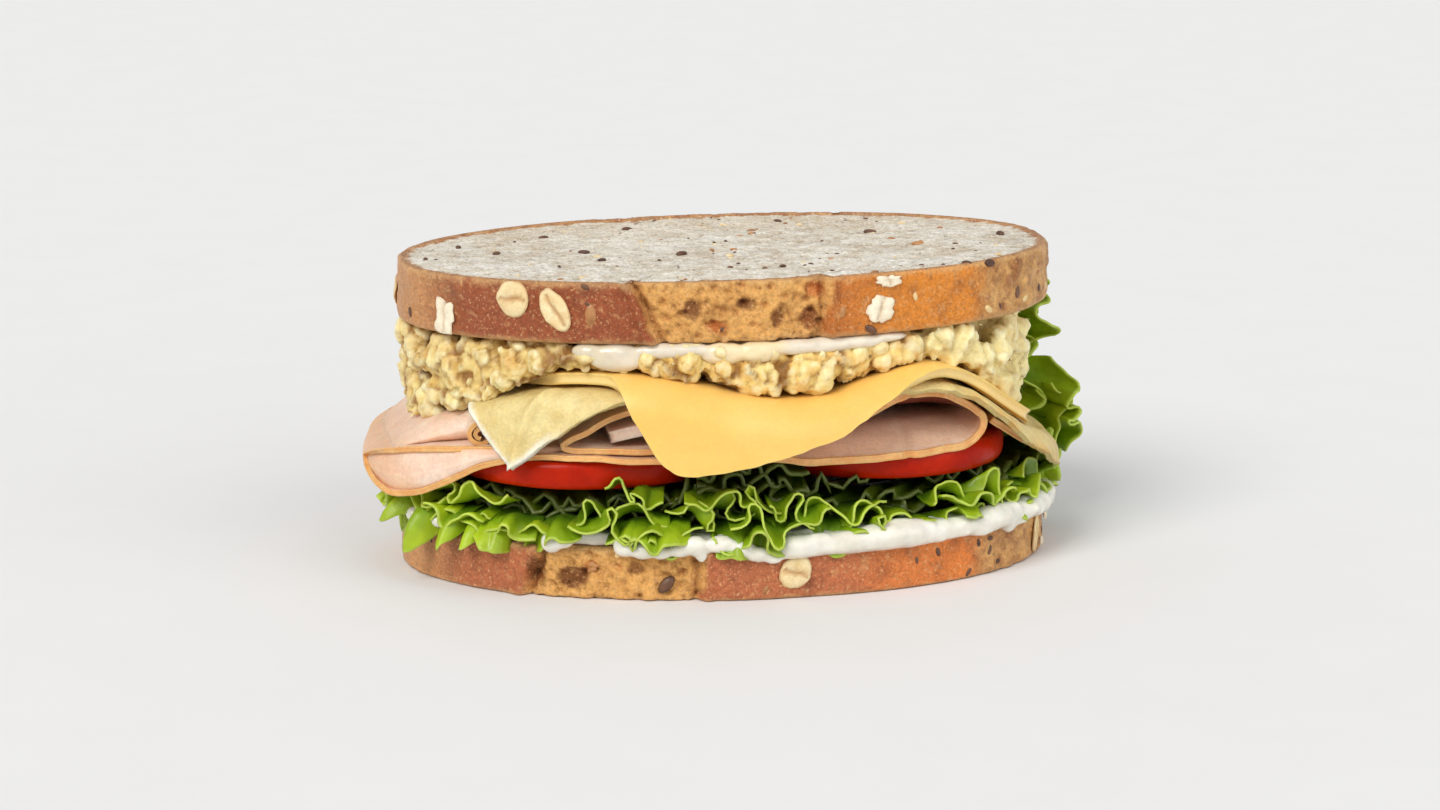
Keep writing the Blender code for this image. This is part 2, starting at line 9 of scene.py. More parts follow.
import bmesh
import bpy
import numpy as np
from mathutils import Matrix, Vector


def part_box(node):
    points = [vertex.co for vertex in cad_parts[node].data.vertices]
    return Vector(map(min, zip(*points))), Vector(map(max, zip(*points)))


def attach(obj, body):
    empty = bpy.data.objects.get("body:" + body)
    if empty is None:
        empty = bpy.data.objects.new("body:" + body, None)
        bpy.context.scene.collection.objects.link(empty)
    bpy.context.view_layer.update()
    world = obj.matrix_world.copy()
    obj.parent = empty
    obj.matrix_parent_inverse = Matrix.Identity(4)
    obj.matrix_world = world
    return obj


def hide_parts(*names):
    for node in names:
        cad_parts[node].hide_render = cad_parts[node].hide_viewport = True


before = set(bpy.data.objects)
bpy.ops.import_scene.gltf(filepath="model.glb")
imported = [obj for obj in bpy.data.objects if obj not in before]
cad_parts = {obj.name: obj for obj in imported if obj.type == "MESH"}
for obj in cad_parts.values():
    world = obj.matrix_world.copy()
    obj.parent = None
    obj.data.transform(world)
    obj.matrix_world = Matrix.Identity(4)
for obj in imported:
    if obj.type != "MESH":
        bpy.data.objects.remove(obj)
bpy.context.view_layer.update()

MM = 0.001


def box_mm(node):
    low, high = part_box(node)
    return np.array(low) / MM, np.array(high) / MM


# The loaf, read from the frame.
LOWER_LOW, LOWER_HIGH = box_mm("bread_bottom")
UPPER_LOW, UPPER_HIGH = box_mm("bread_top")
CENTRE = np.array([(LOWER_LOW[0] + LOWER_HIGH[0]) / 2, (LOWER_LOW[1] + LOWER_HIGH[1]) / 2, 0.0])
HALF_LENGTH = (LOWER_HIGH[0] - LOWER_LOW[0]) / 2
HALF_DEPTH = (LOWER_HIGH[1] - LOWER_LOW[1]) / 2
SQUARENESS = 2.08
LOWER_TOP = LOWER_HIGH[2]
UPPER_TILT = math.radians(0.9)
UPPER_MIDDLE = (UPPER_LOW[2] + UPPER_HIGH[2]) / 2
UPPER_THICKNESS = UPPER_HIGH[2] - UPPER_LOW[2] - 2 * HALF_LENGTH * math.tan(UPPER_TILT)
HAM_FLOOR = box_mm("tomato_left")[1][2] + 0.3

# Top of the folded ham along X, which everything above it follows.
HAM_TOP_KNOTS = (
    (-86, 26.0), (-81, 30.6), (-75, 35.4), (-66, 40.2), (-56, 43.0), (-42, 45.8), (-26, 46.4),
    (-12, 43.9), (2, 40.9), (16, 41.1), (27, 44.0), (36, 46.3), (43, 46.3), (50, 43.4),
    (60, 36.1), (68, 30.5), (77, 25.0), (90, 20.0),
)  # fmt: skip

# Sheets: thickness, and height of the underside over the ham's top.
HAM_THICKNESS = 1.6
HAM_STEP = 0.8  # between the points of a folded slice's profile
EGG_THICKNESS, EGG_LIFT = 1.5, 0.5
CHEESE_THICKNESS, CHEESE_LIFT = 2.6, 3.1
SALAD_LIFT = 6.2
DRAPE_START, DRAPE_RADIUS, DRAPE_ARC = -1.2, 3.0, 5.0
DRAPE_ANGLE = math.radians(85)
EDGE_BULGE = 0.28  # how far a sheet's edge swells, as a share of its thickness


# Numbers: curves, noise and colour


def smooth_curve(knots):
    """A smooth function through (x, y) knots, for arrays: cubic pieces with averaged slopes."""
    xs, ys = np.array(knots, float).T
    slopes = np.gradient(ys, xs)

    def value(x):
        x = np.clip(x, xs[0], xs[-1])
        i = np.clip(np.searchsorted(xs, x) - 1, 0, len(xs) - 2)
        span = xs[i + 1] - xs[i]
        t = (x - xs[i]) / span
        start = (1 + 2 * t) * (1 - t) ** 2 * ys[i] + t * (1 - t) ** 2 * span * slopes[i]
        end = t * t * (3 - 2 * t) * ys[i + 1] + t * t * (t - 1) * span * slopes[i + 1]
        return start + end

    return value


ham_top = smooth_curve(HAM_TOP_KNOTS)  # height of the ham's top at x


def smoothstep(low, high, x):
    t = np.clip((np.asarray(x, float) - low) / (high - low), 0, 1)
    return t * t * (3 - 2 * t)


def mix(a, b, share):
    """Blends arrays or colours; share is a number or one number per row."""
    share = np.asarray(share, float)
    if np.ndim(a) + np.ndim(b) > 0 and share.ndim and (np.shape(a)[-1:] == (3,) or np.shape(b)[-1:] == (3,)):
        share = share[..., None]
    return np.asarray(a) * (1 - share) + np.asarray(b) * share


def srgb(*rgb):
    """Linear colour of a 0-255 display colour."""
    c = np.array(rgb, float) / 255
    return np.where(c < 0.04045, c / 12.92, ((c + 0.055) / 1.055) ** 2.4)


def shade(dark, light, share):
    """A blend of two 0-255 display colours, its share kept from 0 to 1."""
    return mix(srgb(*dark), srgb(*light), np.clip(share, 0, 1))


def hashed(cell, seed):
    """A number from 0 to 1 for each whole-number cell."""
    x, y, z = (cell[..., k].astype(np.int64) for k in range(3))
    h = (x * 73856093) ^ (y * 19349663) ^ (z * 83492791) ^ (seed * 40503 + 1013)
    h = ((h ^ (h >> 13)) * 1274126177) & 0x7FFFFFFF
    h = ((h ^ (h >> 15)) * 1911520717) & 0x7FFFFFFF
    return ((h ^ (h >> 16)) & 0xFFFFFF) / 0xFFFFFF


CORNERS = [np.array([i, j, k]) for i in (0, 1) for j in (0, 1) for k in (0, 1)]


def noise(points, size, seed=0, octaves=1, gain=0.5):
    """Smooth noise from about -1 to 1, with features of that size in mm."""
    size = np.asarray(size, float)
    total, weight, full = 0.0, 1.0, 0.0
    for octave in range(octaves):
        q = points / size * 2**octave + 31.7 * octave
        cell = np.floor(q)
        f = q - cell
        f = f * f * (3 - 2 * f)
        value = 0.0
        for corner in CORNERS:
            share = np.prod(np.where(corner, f, 1 - f), axis=-1)
            value = value + share * hashed(cell + corner, seed + octave)
        total = total + weight * (2 * value - 1)
        full += weight
        weight *= gain
    return total / full


def noise_at(along, row, size, seed):
    """Noise at one place on a strip, as a number."""
    return float(noise(np.array([[along, 0.0, row]]), size, seed)[0])


def strip(along, seed):
    """Places for noise that changes only along a line; each seed has its own."""
    return np.column_stack([along, np.full(len(along), float(seed)), np.zeros(len(along))])


def pits(points, size, seed):
    """(distance to the nearest random spot in units of size, that spot's own random number)."""
    q = points / np.asarray(size, float)
    cell = np.floor(q)
    best = np.full(q.shape[:-1], 9.0)
    label = np.zeros(q.shape[:-1])
    for i in (-1, 0, 1):
        for j in (-1, 0, 1):
            for k in (-1, 0, 1):
                there = cell + (i, j, k)
                spot = there + np.stack([hashed(there, seed + s) for s in (11, 12, 13)], axis=-1)
                d = np.linalg.norm(q - spot, axis=-1)
                nearer = d < best
                best = np.where(nearer, d, best)
                label = np.where(nearer, hashed(there, seed + 14), label)
    return best, label


# The loaf's outline


def outline_radius(angle):
    c = np.abs(np.cos(angle)) / HALF_LENGTH
    s = np.abs(np.sin(angle)) / HALF_DEPTH
    return (c**SQUARENESS + s**SQUARENESS) ** (-1 / SQUARENESS)


RIM_ANGLES = np.linspace(-math.pi, math.pi, 2881)
RIM = outline_radius(RIM_ANGLES)[:, None] * np.stack([np.cos(RIM_ANGLES), np.sin(RIM_ANGLES)], axis=1)
RIM_STEPS = np.linalg.norm(np.diff(RIM, axis=0), axis=1)
RIM_LENGTH = RIM_STEPS.sum()
RIM_ALONG = np.concatenate([[0], np.cumsum(RIM_STEPS)])
RIM_TANGENT = np.gradient(RIM, RIM_ALONG, axis=0)
RIM_TANGENT /= np.linalg.norm(RIM_TANGENT, axis=1)[:, None]


def around(along, out):
    """(point, outward direction) in plan, at a length along the outline from its left end, by the front."""
    along = np.mod(along, RIM_LENGTH)
    point = np.stack([np.interp(along, RIM_ALONG, RIM[:, k]) for k in (0, 1)], axis=-1)
    tangent = np.stack([np.interp(along, RIM_ALONG, RIM_TANGENT[:, k]) for k in (0, 1)], axis=-1)
    outward = np.stack([tangent[..., 1], -tangent[..., 0]], axis=-1)
    return point + outward * np.asarray(out)[..., None], outward


def along_at(angle):
    """Length along the outline to a compass angle from -pi to pi."""
    return np.interp(angle, RIM_ANGLES, RIM_ALONG)


def front_y(x, inset=0.0):
    share = np.minimum(np.abs(x) / HALF_LENGTH, 0.995)
    return -HALF_DEPTH * (1 - share**SQUARENESS) ** (1 / SQUARENESS) + inset


def front_along(x):
    """Length along the outline to the front crust at x."""
    return along_at(np.arctan2(front_y(x), x))


def upper_z(x, share):
    """Height in the upper slice: share 0 at its underside, 1 at its top."""
    return UPPER_MIDDLE + UPPER_THICKNESS * (share - 0.5) + np.asarray(x) * math.tan(UPPER_TILT)


def draped(x, y, lift):
    """Points of a sheet that lies on the ham's top and bends down outside the outline."""
    x, y = np.asarray(x, float), np.asarray(y, float)
    angle = np.arctan2(y, x)
    edge = outline_radius(angle) + DRAPE_START
    past = np.maximum(np.hypot(x, y) - edge, 0)
    bend = np.minimum(past / DRAPE_ARC, DRAPE_ANGLE)
    rest = past - DRAPE_ARC * bend
    outside = past > 0
    x_in, y_in = np.where(outside, edge * np.cos(angle), x), np.where(outside, edge * np.sin(angle), y)
    out = (DRAPE_RADIUS + lift) * np.sin(bend) + rest * math.cos(DRAPE_ANGLE)
    drop = (DRAPE_RADIUS + lift) * (1 - np.cos(bend)) + rest * math.sin(DRAPE_ANGLE)
    z = ham_top(x_in) + lift - drop
    return np.stack([x_in + out * np.cos(angle), y_in + out * np.sin(angle), z], axis=-1)


def draped_sheet(x, y, lift, thickness, below, above):
    """Both faces of a sheet draped over the ham, each pushed out by its own waves."""
    lower, upper = draped(x, y, lift), draped(x, y, lift + thickness)
    out = upper - lower
    out /= np.linalg.norm(out, axis=-1)[..., None]
    return lower + out * below[..., None], upper + out * above[..., None]


# Meshes


def grid_faces(rows, columns, start=0, wrap=False, flip=False):
    """Quads of a grid of points stored row by row; wrap joins its last column to its first."""
    i, j = np.meshgrid(np.arange(rows - 1), np.arange(columns if wrap else columns - 1), indexing="ij")
    k = (j + 1) % columns
    row, next_row = i * columns + start, (i + 1) * columns + start
    quads = np.stack([row + j, row + k, next_row + k, next_row + j], axis=-1).reshape(-1, 4)
    return quads[:, ::-1] if flip else quads


def ring_faces(first, second):
    """Faces between two loops of point numbers; the second loop may be a single point."""
    if len(second) == 1:
        return np.stack([first, np.roll(first, -1), np.full(len(first), second[0])], axis=1)
    return np.stack([first, np.roll(first, -1), np.roll(second, -1), second], axis=1)


def linked(name, data):
    """A new object in the scene."""
    obj = bpy.data.objects.new(name, data)
    bpy.context.scene.collection.objects.link(obj)
    return obj


def make_piece(name, points, faces, surface, slot, replaces, colour, torn=None):
    """A smooth mesh object from points in mm and a colour for each, attached to the root body, with the
    solids it replaces hidden.
    """
    mesh = bpy.data.meshes.new(name)
    places = (np.asarray(points, float) + CENTRE) * MM
    mesh.from_pydata(places.tolist(), [], [list(map(int, f)) for f in faces])
    layer = mesh.attributes.new("colour", "FLOAT_COLOR", "POINT")
    colour = np.concatenate([np.clip(colour, 0, 1), np.ones((len(colour), 1))], axis=1)
    layer.data.foreach_set("color", colour.ravel())
    if torn is not None:
        mesh.attributes.new("torn", "FLOAT", "POINT").data.foreach_set("value", torn)
    mesh.update()
    mesh.shade_smooth()
    mesh.materials.append(surface)
    obj = linked(name, mesh)
    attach(obj, "root")
    if replaces:
        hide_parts(*replaces)
    return obj


def make_closed_piece(*args):
    """A piece whose faces are then all turned outwards."""
    turn_faces_out(make_piece(*args))


def turn_faces_out(obj):
    build = bmesh.new()
    build.from_mesh(obj.data)
    bmesh.ops.recalc_face_normals(build, faces=build.faces)
    build.to_mesh(obj.data)
    build.free()
    obj.data.shade_smooth()


def joined(parts):
    """One (points, faces, attributes) from several."""
    points, faces, attributes, start = [], [], {}, 0
    for part_points, part_faces, part_attributes in parts:
        points.append(part_points)
        faces += [[int(v) + start for v in f] for f in part_faces]
        for key, values in part_attributes.items():
            attributes.setdefault(key, []).append(values)
        start += len(part_points)
    merged = {key: np.concatenate(values) for key, values in attributes.items()}
    return np.concatenate(points), faces, merged


def sheet_mesh(lower, upper, round_rows):
    """A closed sheet between two grids of points, with a rounded edge: points, faces, rim points' numbers."""
    rows, columns = lower.shape[:2]
    size = rows * columns
    rim = [(0, j) for j in range(columns - 1)] + [(i, columns - 1) for i in range(rows - 1)]
    rim += [(rows - 1, j) for j in range(columns - 1, 0, -1)] + [(i, 0) for i in range(rows - 1, 0, -1)]
    index = np.array([i * columns + j for i, j in rim])
    faces = grid_faces(rows, columns, flip=True).tolist() + grid_faces(rows, columns, size).tolist()
    points, loops = [lower.reshape(-1, 3), upper.reshape(-1, 3)], [index]
    low, high = points[0][index], points[1][index]
    outward = np.cross(np.roll(low, -1, axis=0) - np.roll(low, 1, axis=0), high - low)
    outward /= np.maximum(np.linalg.norm(outward, axis=1), 1e-9)[:, None]
    thickness = np.linalg.norm(high - low, axis=1)[:, None]
    for row in range(round_rows):
        share = (row + 1) / (round_rows + 1)
        bulge = EDGE_BULGE * thickness * math.sin(math.pi * share)
        points.append(low * (1 - share) + high * share + outward * bulge)
        loops.append(np.arange(len(index)) + 2 * size + row * len(index))
    loops.append(index + size)
    for first, second in zip(loops, loops[1:]):
        faces += ring_faces(first, second).tolist()
    return np.concatenate(points), faces, index


def disc_plan(count):
    """A square grid spread over a disc: angle and level of each point, 0 in the middle to 1 at the rim."""
    u, v = np.meshgrid(np.linspace(-1, 1, count + 1), np.linspace(-1, 1, count + 1), indexing="ij")
    level = np.maximum(np.abs(u), np.abs(v))
    wide = np.abs(u) >= np.abs(v)
    safe_u, safe_v = np.where(u == 0, 1, u), np.where(v == 0, 1, v)
    angle = np.where(wide, math.pi / 4 * v / safe_u, math.pi / 2 - math.pi / 4 * u / safe_v)
    angle = angle + np.where(wide & (u < 0) | ~wide & (v < 0), math.pi, 0)
    return angle, level


def grid_rim(count):
    """Indices round the edge of a (count + 1) square grid."""
    n = count + 1
    rim = [(0, j) for j in range(count)] + [(i, count) for i in range(count)]
    rim += [(count, j) for j in range(count, 0, -1)] + [(i, 0) for i in range(count, 0, -1)]
    return np.array([i * n + j for i, j in rim])


# Materials


class Nodes:
    """A small helper that adds and links shader nodes."""

    def __init__(self, name):
        self.material = bpy.data.materials.new(name)
        self.material.use_nodes = True
        self.tree = self.material.node_tree
        self.shader = self.tree.nodes["Principled BSDF"]
        self.where = self.add("ShaderNodeTexCoord").outputs["Object"]

    def add(self, kind, **settings):
        node = self.tree.nodes.new(kind)
        for key, value in settings.items():
            setattr(node, key, value)
        return node

    def link(self, source, socket):
        self.tree.links.new(source, socket)

    def noise(self, size, detail, roughness=0.55):
        """Noise with features of that size in mm."""
        node = self.add("ShaderNodeTexNoise")
        node.inputs["Scale"].default_value = 1 / (size * MM)
        node.inputs["Detail"].default_value = detail
        node.inputs["Roughness"].default_value = roughness
        self.link(self.where, node.inputs["Vector"])
        return node.outputs["Fac"]

    def spots(self, size):
        """Distance from random spots about that far apart in mm."""
        node = self.add("ShaderNodeTexVoronoi")
        node.inputs["Scale"].default_value = 1 / (size * MM)
        self.link(self.where, node.inputs["Vector"])
        return node.outputs["Distance"]

    def ramp(self, fac, *stops):
        """stops are (position, grey) or (position, colour)."""
        node = self.add("ShaderNodeValToRGB")
        elements = node.color_ramp.elements
        while len(elements) < len(stops):
            elements.new(0.5)
        for element, (position, value) in zip(elements, stops):
            element.position = position
            colour = (value, value, value) if np.ndim(value) == 0 else value
            element.color = (*colour, 1.0)
        self.link(fac, node.inputs["Fac"])
        return node.outputs["Color"]

    def attribute(self, name, colour=True):
        node = self.add("ShaderNodeAttribute", attribute_name=name)
        return node.outputs["Color" if colour else "Fac"]

    def feed(self, value, socket):
        """Links a socket, or sets a number, a vector or a colour."""
        if isinstance(value, bpy.types.NodeSocket):
            self.link(value, socket)
        elif np.ndim(value) and socket.type == "RGBA":
            socket.default_value = (*value, 1.0)
        else:
            socket.default_value = value

    def blend(self, a, b, fac, mode="MIX"):
        node = self.add("ShaderNodeMix", data_type="RGBA", blend_type=mode)
        for value, socket in ((fac, node.inputs[0]), (a, node.inputs[6]), (b, node.inputs[7])):
            self.feed(value, socket)
        return node.outputs[2]

    def math(self, operation, a, b):
        node = self.add("ShaderNodeMath", operation=operation)
        self.feed(a, node.inputs[0])
        self.feed(b, node.inputs[1])
        return node.outputs[0]

    def bump(self, heights, distance, strength):
        """heights are (socket, share) pairs that add up."""
        total = None
        for height, share in heights:
            term = self.math("MULTIPLY", height, share)
            total = term if total is None else self.math("ADD", total, term)
        node = self.add("ShaderNodeBump")
        node.inputs["Strength"].default_value = strength
        node.inputs["Distance"].default_value = distance * MM
        self.link(total, node.inputs["Height"])
        self.link(node.outputs["Normal"], self.shader.inputs["Normal"])

    def set(self, **values):
        for key, value in values.items():
            self.feed(value, self.shader.inputs[key.replace("_", " ")])
        return self.material


def bread_material(name, roughness, fine, speck):
    """Colour comes from the mesh; fine grain and specks from noise."""
    n = Nodes(name)
    grain, patch, pores = n.noise(fine, 4, roughness=0.7), n.noise(fine * 6, 3), n.spots(fine * 2.2)
    colour = n.attribute("colour")
    colour = n.blend(colour, n.ramp(grain, (0.34, 0.5), (0.5, 0.97), (0.7, 1.0)), 0.75, "MULTIPLY")
    colour = n.blend(colour, n.ramp(patch, (0.3, 0.8), (0.6, 1.0)), 0.5, "MULTIPLY")
    colour = n.blend(colour, speck, n.ramp(grain, (0.58, 0.0), (0.68, 0.8)))
    n.bump([(grain, 1.0), (pores, 0.6), (patch, 0.8)], 0.6, 1.0)
    return n.set(Base_Color=colour, Roughness=roughness, Specular_IOR_Level=0.3)


def crust_material():
    """Baked crust: a fine blistered grain, pale and dark specks, and a faint sheen where it is smooth."""
    n = Nodes("crust")
    grain, blisters, patch = n.noise(0.8, 5, roughness=0.7), n.spots(1.6), n.noise(9, 3)
    colour = n.attribute("colour")
    colour = n.blend(colour, n.ramp(grain, (0.34, 0.42), (0.56, 1.0)), 0.6, "MULTIPLY")
    colour = n.blend(colour, n.ramp(patch, (0.3, 0.82), (0.65, 1.0)), 0.5, "MULTIPLY")
    colour = n.blend(colour, srgb(244, 196, 136), n.ramp(blisters, (0.1, 0.3), (0.24, 0.0)))
    flour = n.ramp(n.noise(0.6, 2), (0.6, 0.0), (0.72, 0.55))
    colour = n.blend(colour, srgb(246, 200, 142), flour)
    n.bump([(grain, 1.0), (blisters, 0.5), (patch, 0.6)], 0.6, 1.0)
    rough = n.ramp(n.blend(grain, n.attribute("torn", False), 0.6), (0.2, 0.4), (0.8, 0.85))
    return n.set(Base_Color=colour, Roughness=rough, Specular_IOR_Level=0.4)


def soft_material(name, roughness, bumps, distance, mottle=0.55, **settings):
    """A moist food: the mesh's colour, broken up by noise; bumps are (size, share) pairs."""
    n = Nodes(name)
    heights = [(n.noise(size, 4), share) for size, share in bumps]
    colour = n.attribute("colour")
    colour = n.blend(colour, n.ramp(heights[0][0], (0.3, 0.78), (0.65, 1.0)), mottle, "MULTIPLY")
    finest = bumps[0][0]
    patch = n.noise(4 * finest, 2)
    colour = n.blend(colour, n.ramp(patch, (0.35, 0.86), (0.65, 1.0)), mottle, "MULTIPLY")
    low, high = roughness
    rough = n.ramp(n.noise(3 * finest, 3), (0.35, low), (0.65, high))
    n.bump(heights, distance, 0.8)
    return n.set(Base_Color=colour, Roughness=rough, **settings)


def lettuce_material():
    """Leaf: branching veins, fine cells, waxy shine, light through the frill."""
    n = Nodes("lettuce")
    veins = n.spots(4.5)
    cells, patch = n.noise(0.5, 3), n.noise(5, 3)
    colour = n.attribute("colour")
    colour = n.blend(colour, n.ramp(patch, (0.3, 0.62), (0.7, 1.0)), 0.7, "MULTIPLY")
    vein = n.ramp(veins, (0.0, 1.0), (0.09, 0.0))
    colour = n.blend(colour, srgb(196, 214, 120), n.math("MULTIPLY", vein, 0.25))
    n.bump([(veins, -0.5), (patch, 1.0), (cells, 0.15)], 0.5, 0.7)
    rough = n.ramp(patch, (0.3, 0.3), (0.7, 0.48))
    return n.set(
        Base_Color=colour, Roughness=rough, Subsurface_Weight=0.25,
        Subsurface_Radius=(0.0006, 0.0012, 0.0002), Subsurface_Scale=1.0, Specular_IOR_Level=0.45,
    )  # fmt: skip


def make_materials():
    sss = {"Subsurface_Weight": 0.3, "Subsurface_Scale": 1.0}
    return {
        "crust": crust_material(),
        "crumb": bread_material("crumb", 0.9, 0.8, srgb(255, 252, 244)),
        "seed": soft_material("seed", (0.3, 0.5), [(0.5, 1.0), (1.5, 0.6)], 0.15),
        "oat": soft_material("oat", (0.6, 0.8), [(0.45, 1.0), (2.0, 0.6)], 0.25),
        "mayo": soft_material(
            "mayo", (0.12, 0.28), [(2.5, 1.0), (0.8, 0.12)], 0.25, Coat_Weight=0.3, Coat_Roughness=0.12,
            Subsurface_Radius=(0.0015, 0.0012, 0.0009), **sss,
        ),
        "lettuce": lettuce_material(),
        "tomato": soft_material(
            "tomato", (0.28, 0.45), [(1.2, 0.5), (5.0, 1.0)], 0.18, Coat_Weight=0.09, Coat_Roughness=0.12,
            Specular_IOR_Level=0.08, Subsurface_Weight=0.12, Subsurface_Radius=(0.002, 0.0003, 0.0001),
            Subsurface_Scale=1.0,
        ),
        "ham": soft_material(
            "ham", (0.3, 0.5), [(0.8, 0.7), (3.0, 1.0)], 0.2,
            Subsurface_Radius=(0.003, 0.0012, 0.0008), **sss,
        ),
        "egg": soft_material(
            "egg", (0.35, 0.6), [(0.7, 0.8), (2.6, 1.0)], 0.35,
            Subsurface_Radius=(0.0015, 0.001, 0.0004), **sss,
        ),
        "cheese": soft_material(
            "cheese", (0.3, 0.42), [(0.9, 0.12), (6.0, 1.0)], 0.16, 0.22, Coat_Weight=0.1,
            Subsurface_Radius=(0.003, 0.0018, 0.0006), **sss,
        ),
        "salad": soft_material(
            "salad", (0.35, 0.65), [(0.9, 1.0), (3.0, 0.8)], 0.35,
            Subsurface_Radius=(0.001, 0.0007, 0.0003), Subsurface_Weight=0.15, Subsurface_Scale=1.0,
        ),
    }  # fmt: skip


# Bread

TEARS = {
    # Where each slice's crust burst: from x, to x at the front, and how far the edges lean.
    "bread_top": (-25.0, 16.5, 7.0),
    "bread_bottom": (-50.0, -12.0, -3.0),
}
BACK_TEARS = {"bread_top": (-30.0, 34.0), "bread_bottom": (-8.0, 40.0)}


def tear_mask(name, x, y, height, points):
    """1 where the crust is torn open. height runs from 0 to 1 up the slice."""
    left, right, lean = TEARS[name]
    wobble = 1.8 * noise(points, 5.0, 41, 2)
    left_edge = left + lean * (0.5 - height) + wobble
    right_edge = right + 0.3 * lean * (height - 0.5) + wobble
    front = smoothstep(left_edge - 0.5, left_edge + 0.5, x)
    front = front * (1 - smoothstep(right_edge - 0.5, right_edge + 0.5, x))
    back_left, back_right = BACK_TEARS[name]
    back = smoothstep(back_left - 1, back_left + 1, x + 2 * wobble - 5 * height)
    back = back * (1 - smoothstep(back_right - 1, back_right + 1, x + 2 * wobble))
    return np.where(y < 0, front, back)


BUBBLES = {
    # Open bubbles in the torn crust: x, height in the slice, half width, half height, depth, share of amber
    "bread_top": (
        (13.5, 11.2, 2.4, 1.8, 0.8, 1.0), (12.5, 4.6, 2.0, 2.6, 1.4, 0.2), (-8.5, 3.5, 2.6, 1.6, 0.9, 0.8),
        (-2.0, 8.4, 2.4, 1.4, 1.0, 0.0), (5.0, 5.2, 1.6, 2.0, 1.1, 0.1), (-14.0, 7.5, 2.0, 2.4, 1.1, 0.0),
    ),
    "bread_bottom": (
        (-49.0, 6.4, 1.9, 3.2, 1.3, 0.0), (-40.7, 4.9, 3.4, 2.5, 1.7, 0.0), (-36.5, 8.0, 1.7, 1.1, 0.5, 1.0),
        (-26.5, 7.6, 2.2, 1.5, 0.8, 0.1),
    ),
}  # fmt: skip


def bubble_share(name, points):
    """(depth in mm, amber share) of the bubbles open at each point of the front crust."""
    depth, amber = np.zeros(len(points)), np.zeros(len(points))
    wobble = 0.5 * noise(points, 2.5, 47, 2)
    for x, height, wide, tall, deep, tint in BUBBLES[name]:
        gap = ((points[:, 0] - x + wobble) / wide) ** 2 + ((points[:, 2] - height + wobble) / tall) ** 2
        bowl = np.sqrt(np.clip(1.15 - gap, 0, 1)) * (points[:, 1] < 0)
        depth = np.maximum(depth, deep * bowl)
        amber = np.maximum(amber, tint * (bowl > 0.3))
    return depth, amber


def crust_relief(name, points, height):
    """How far the crust stands out, in mm, and its torn share."""
    x, y = points[:, 0], points[:, 1]
    torn = tear_mask(name, x, y, height, points)
    smooth = 0.40 * noise(points, 13.0, 3, 2) + 0.16 * noise(points, 2.0, 5, 3)
    deep, _ = pits(points * (1.0, 1.0, 1.25), 3.6, 7)
    ragged = 1.2 * noise(points, 3.4, 9, 4, 0.68) - 1.2 * (1 - smoothstep(0.12, 0.42, deep))
    pore, _ = pits(points, 1.8, 17)
    ragged = ragged + 0.6 * (np.abs(noise(points, 5.0, 15, 2)) - 0.3) - 0.6 * (1 - smoothstep(0.1, 0.4, pore))
    ragged = ragged + 0.45 * noise(points * (0.45, 0.45, 1.5), 2.2, 21, 2)
    left, right, lean = TEARS[name]
    ridge = x - (left + lean * (0.5 - height) + 1.8 * noise(points, 5.0, 41, 2))
    ear = 1.5 * np.exp(-((ridge + 1.2) / 1.3) ** 2) - 1.7 * np.exp(-((ridge - 1.0) / 0.9) ** 2)
    ridge = x - right
    ear = ear + 0.9 * np.exp(-((ridge - 1.2) / 1.3) ** 2) - 1.3 * np.exp(-((ridge + 1.1) / 1.1) ** 2)
    ear = np.where(y < 0, ear, 0.0)
    ends = smoothstep(50, 62, x) + 0.5 * smoothstep(58, 70, -x)
    rough_ends = ends * (0.8 * noise(points, 3.2, 19, 3, 0.6) - 0.2)
    return smooth + torn * (ragged - 0.8) + ear + rough_ends - bubble_share(name, points)[0], torn


def crust_colour(name, points, height, torn, relief):
    """Display colours along the crust: red-brown, torn gold, orange, and mottled tan at the right end."""
    x, y = points[:, 0], points[:, 1]
    patch, fine = noise(points, 12.0, 23, 3), noise(points, 2.4, 25, 3)
    grain = noise(points, 1.0, 27, 2)
    if name == "bread_top":
        toast = smoothstep(-10, 45, x + 8 * patch)
        brown, orange = srgb(166, 84, 44), srgb(244, 148, 42)
    else:
        toast = smoothstep(10, 50, x + 10 * patch)
        # The lower slice's browns are its crust colour set lighter: partly its own colour, partly painted
        # light against the shade on its front.
        brown, orange = srgb(200, 114, 70), srgb(244, 138, 56)
    toast = np.where(y < 0, toast, 0.5 + 0.5 * patch)
    colour = mix(brown, orange, toast)
    colour = mix(colour, srgb(118, 58, 34), 0.45 * smoothstep(0.0, 0.6, noise(points, 4.5, 29, 3)))
    colour = mix(colour, srgb(232, 170, 108), 0.75 * smoothstep(62, 75, -x + 2 * fine))
    mottled = shade((146, 88, 44), (244, 192, 118), 0.55 + 0.9 * fine + 0.3 * grain)
    colour = mix(colour, mottled, 0.85 * smoothstep(50, 58, x + 3 * fine))
    # Torn gold is darker where the relief sinks and paler where it stands out: painted shade in the hollows,
    # painted light on the ridges.
    gold = 0.75 + 0.3 * fine + 0.34 * (relief + 1.3) + 0.25 * grain
    gold = shade((150, 84, 34), (246, 184, 104), gold)
    colour = mix(colour, gold, torn)
    depth, amber = bubble_share(name, points)
    # Open bubbles darken with their depth: painted shade inside them, brown or amber by their tint.
    colour = mix(colour, mix(srgb(126, 74, 36), srgb(214, 112, 46), amber), 0.8 * np.clip(depth / 0.9, 0, 1))
    rim = smoothstep(0.86, 1.0, height + 0.10 * fine) + 1 - smoothstep(0.0, 0.10, height + 0.08 * fine)
    colour = mix(colour, srgb(238, 190, 128), 0.6 * np.clip(rim, 0, 1))
    return mix(colour, srgb(240, 182, 120), 0.45 * smoothstep(0.3, 0.7, grain + 0.4 * fine))


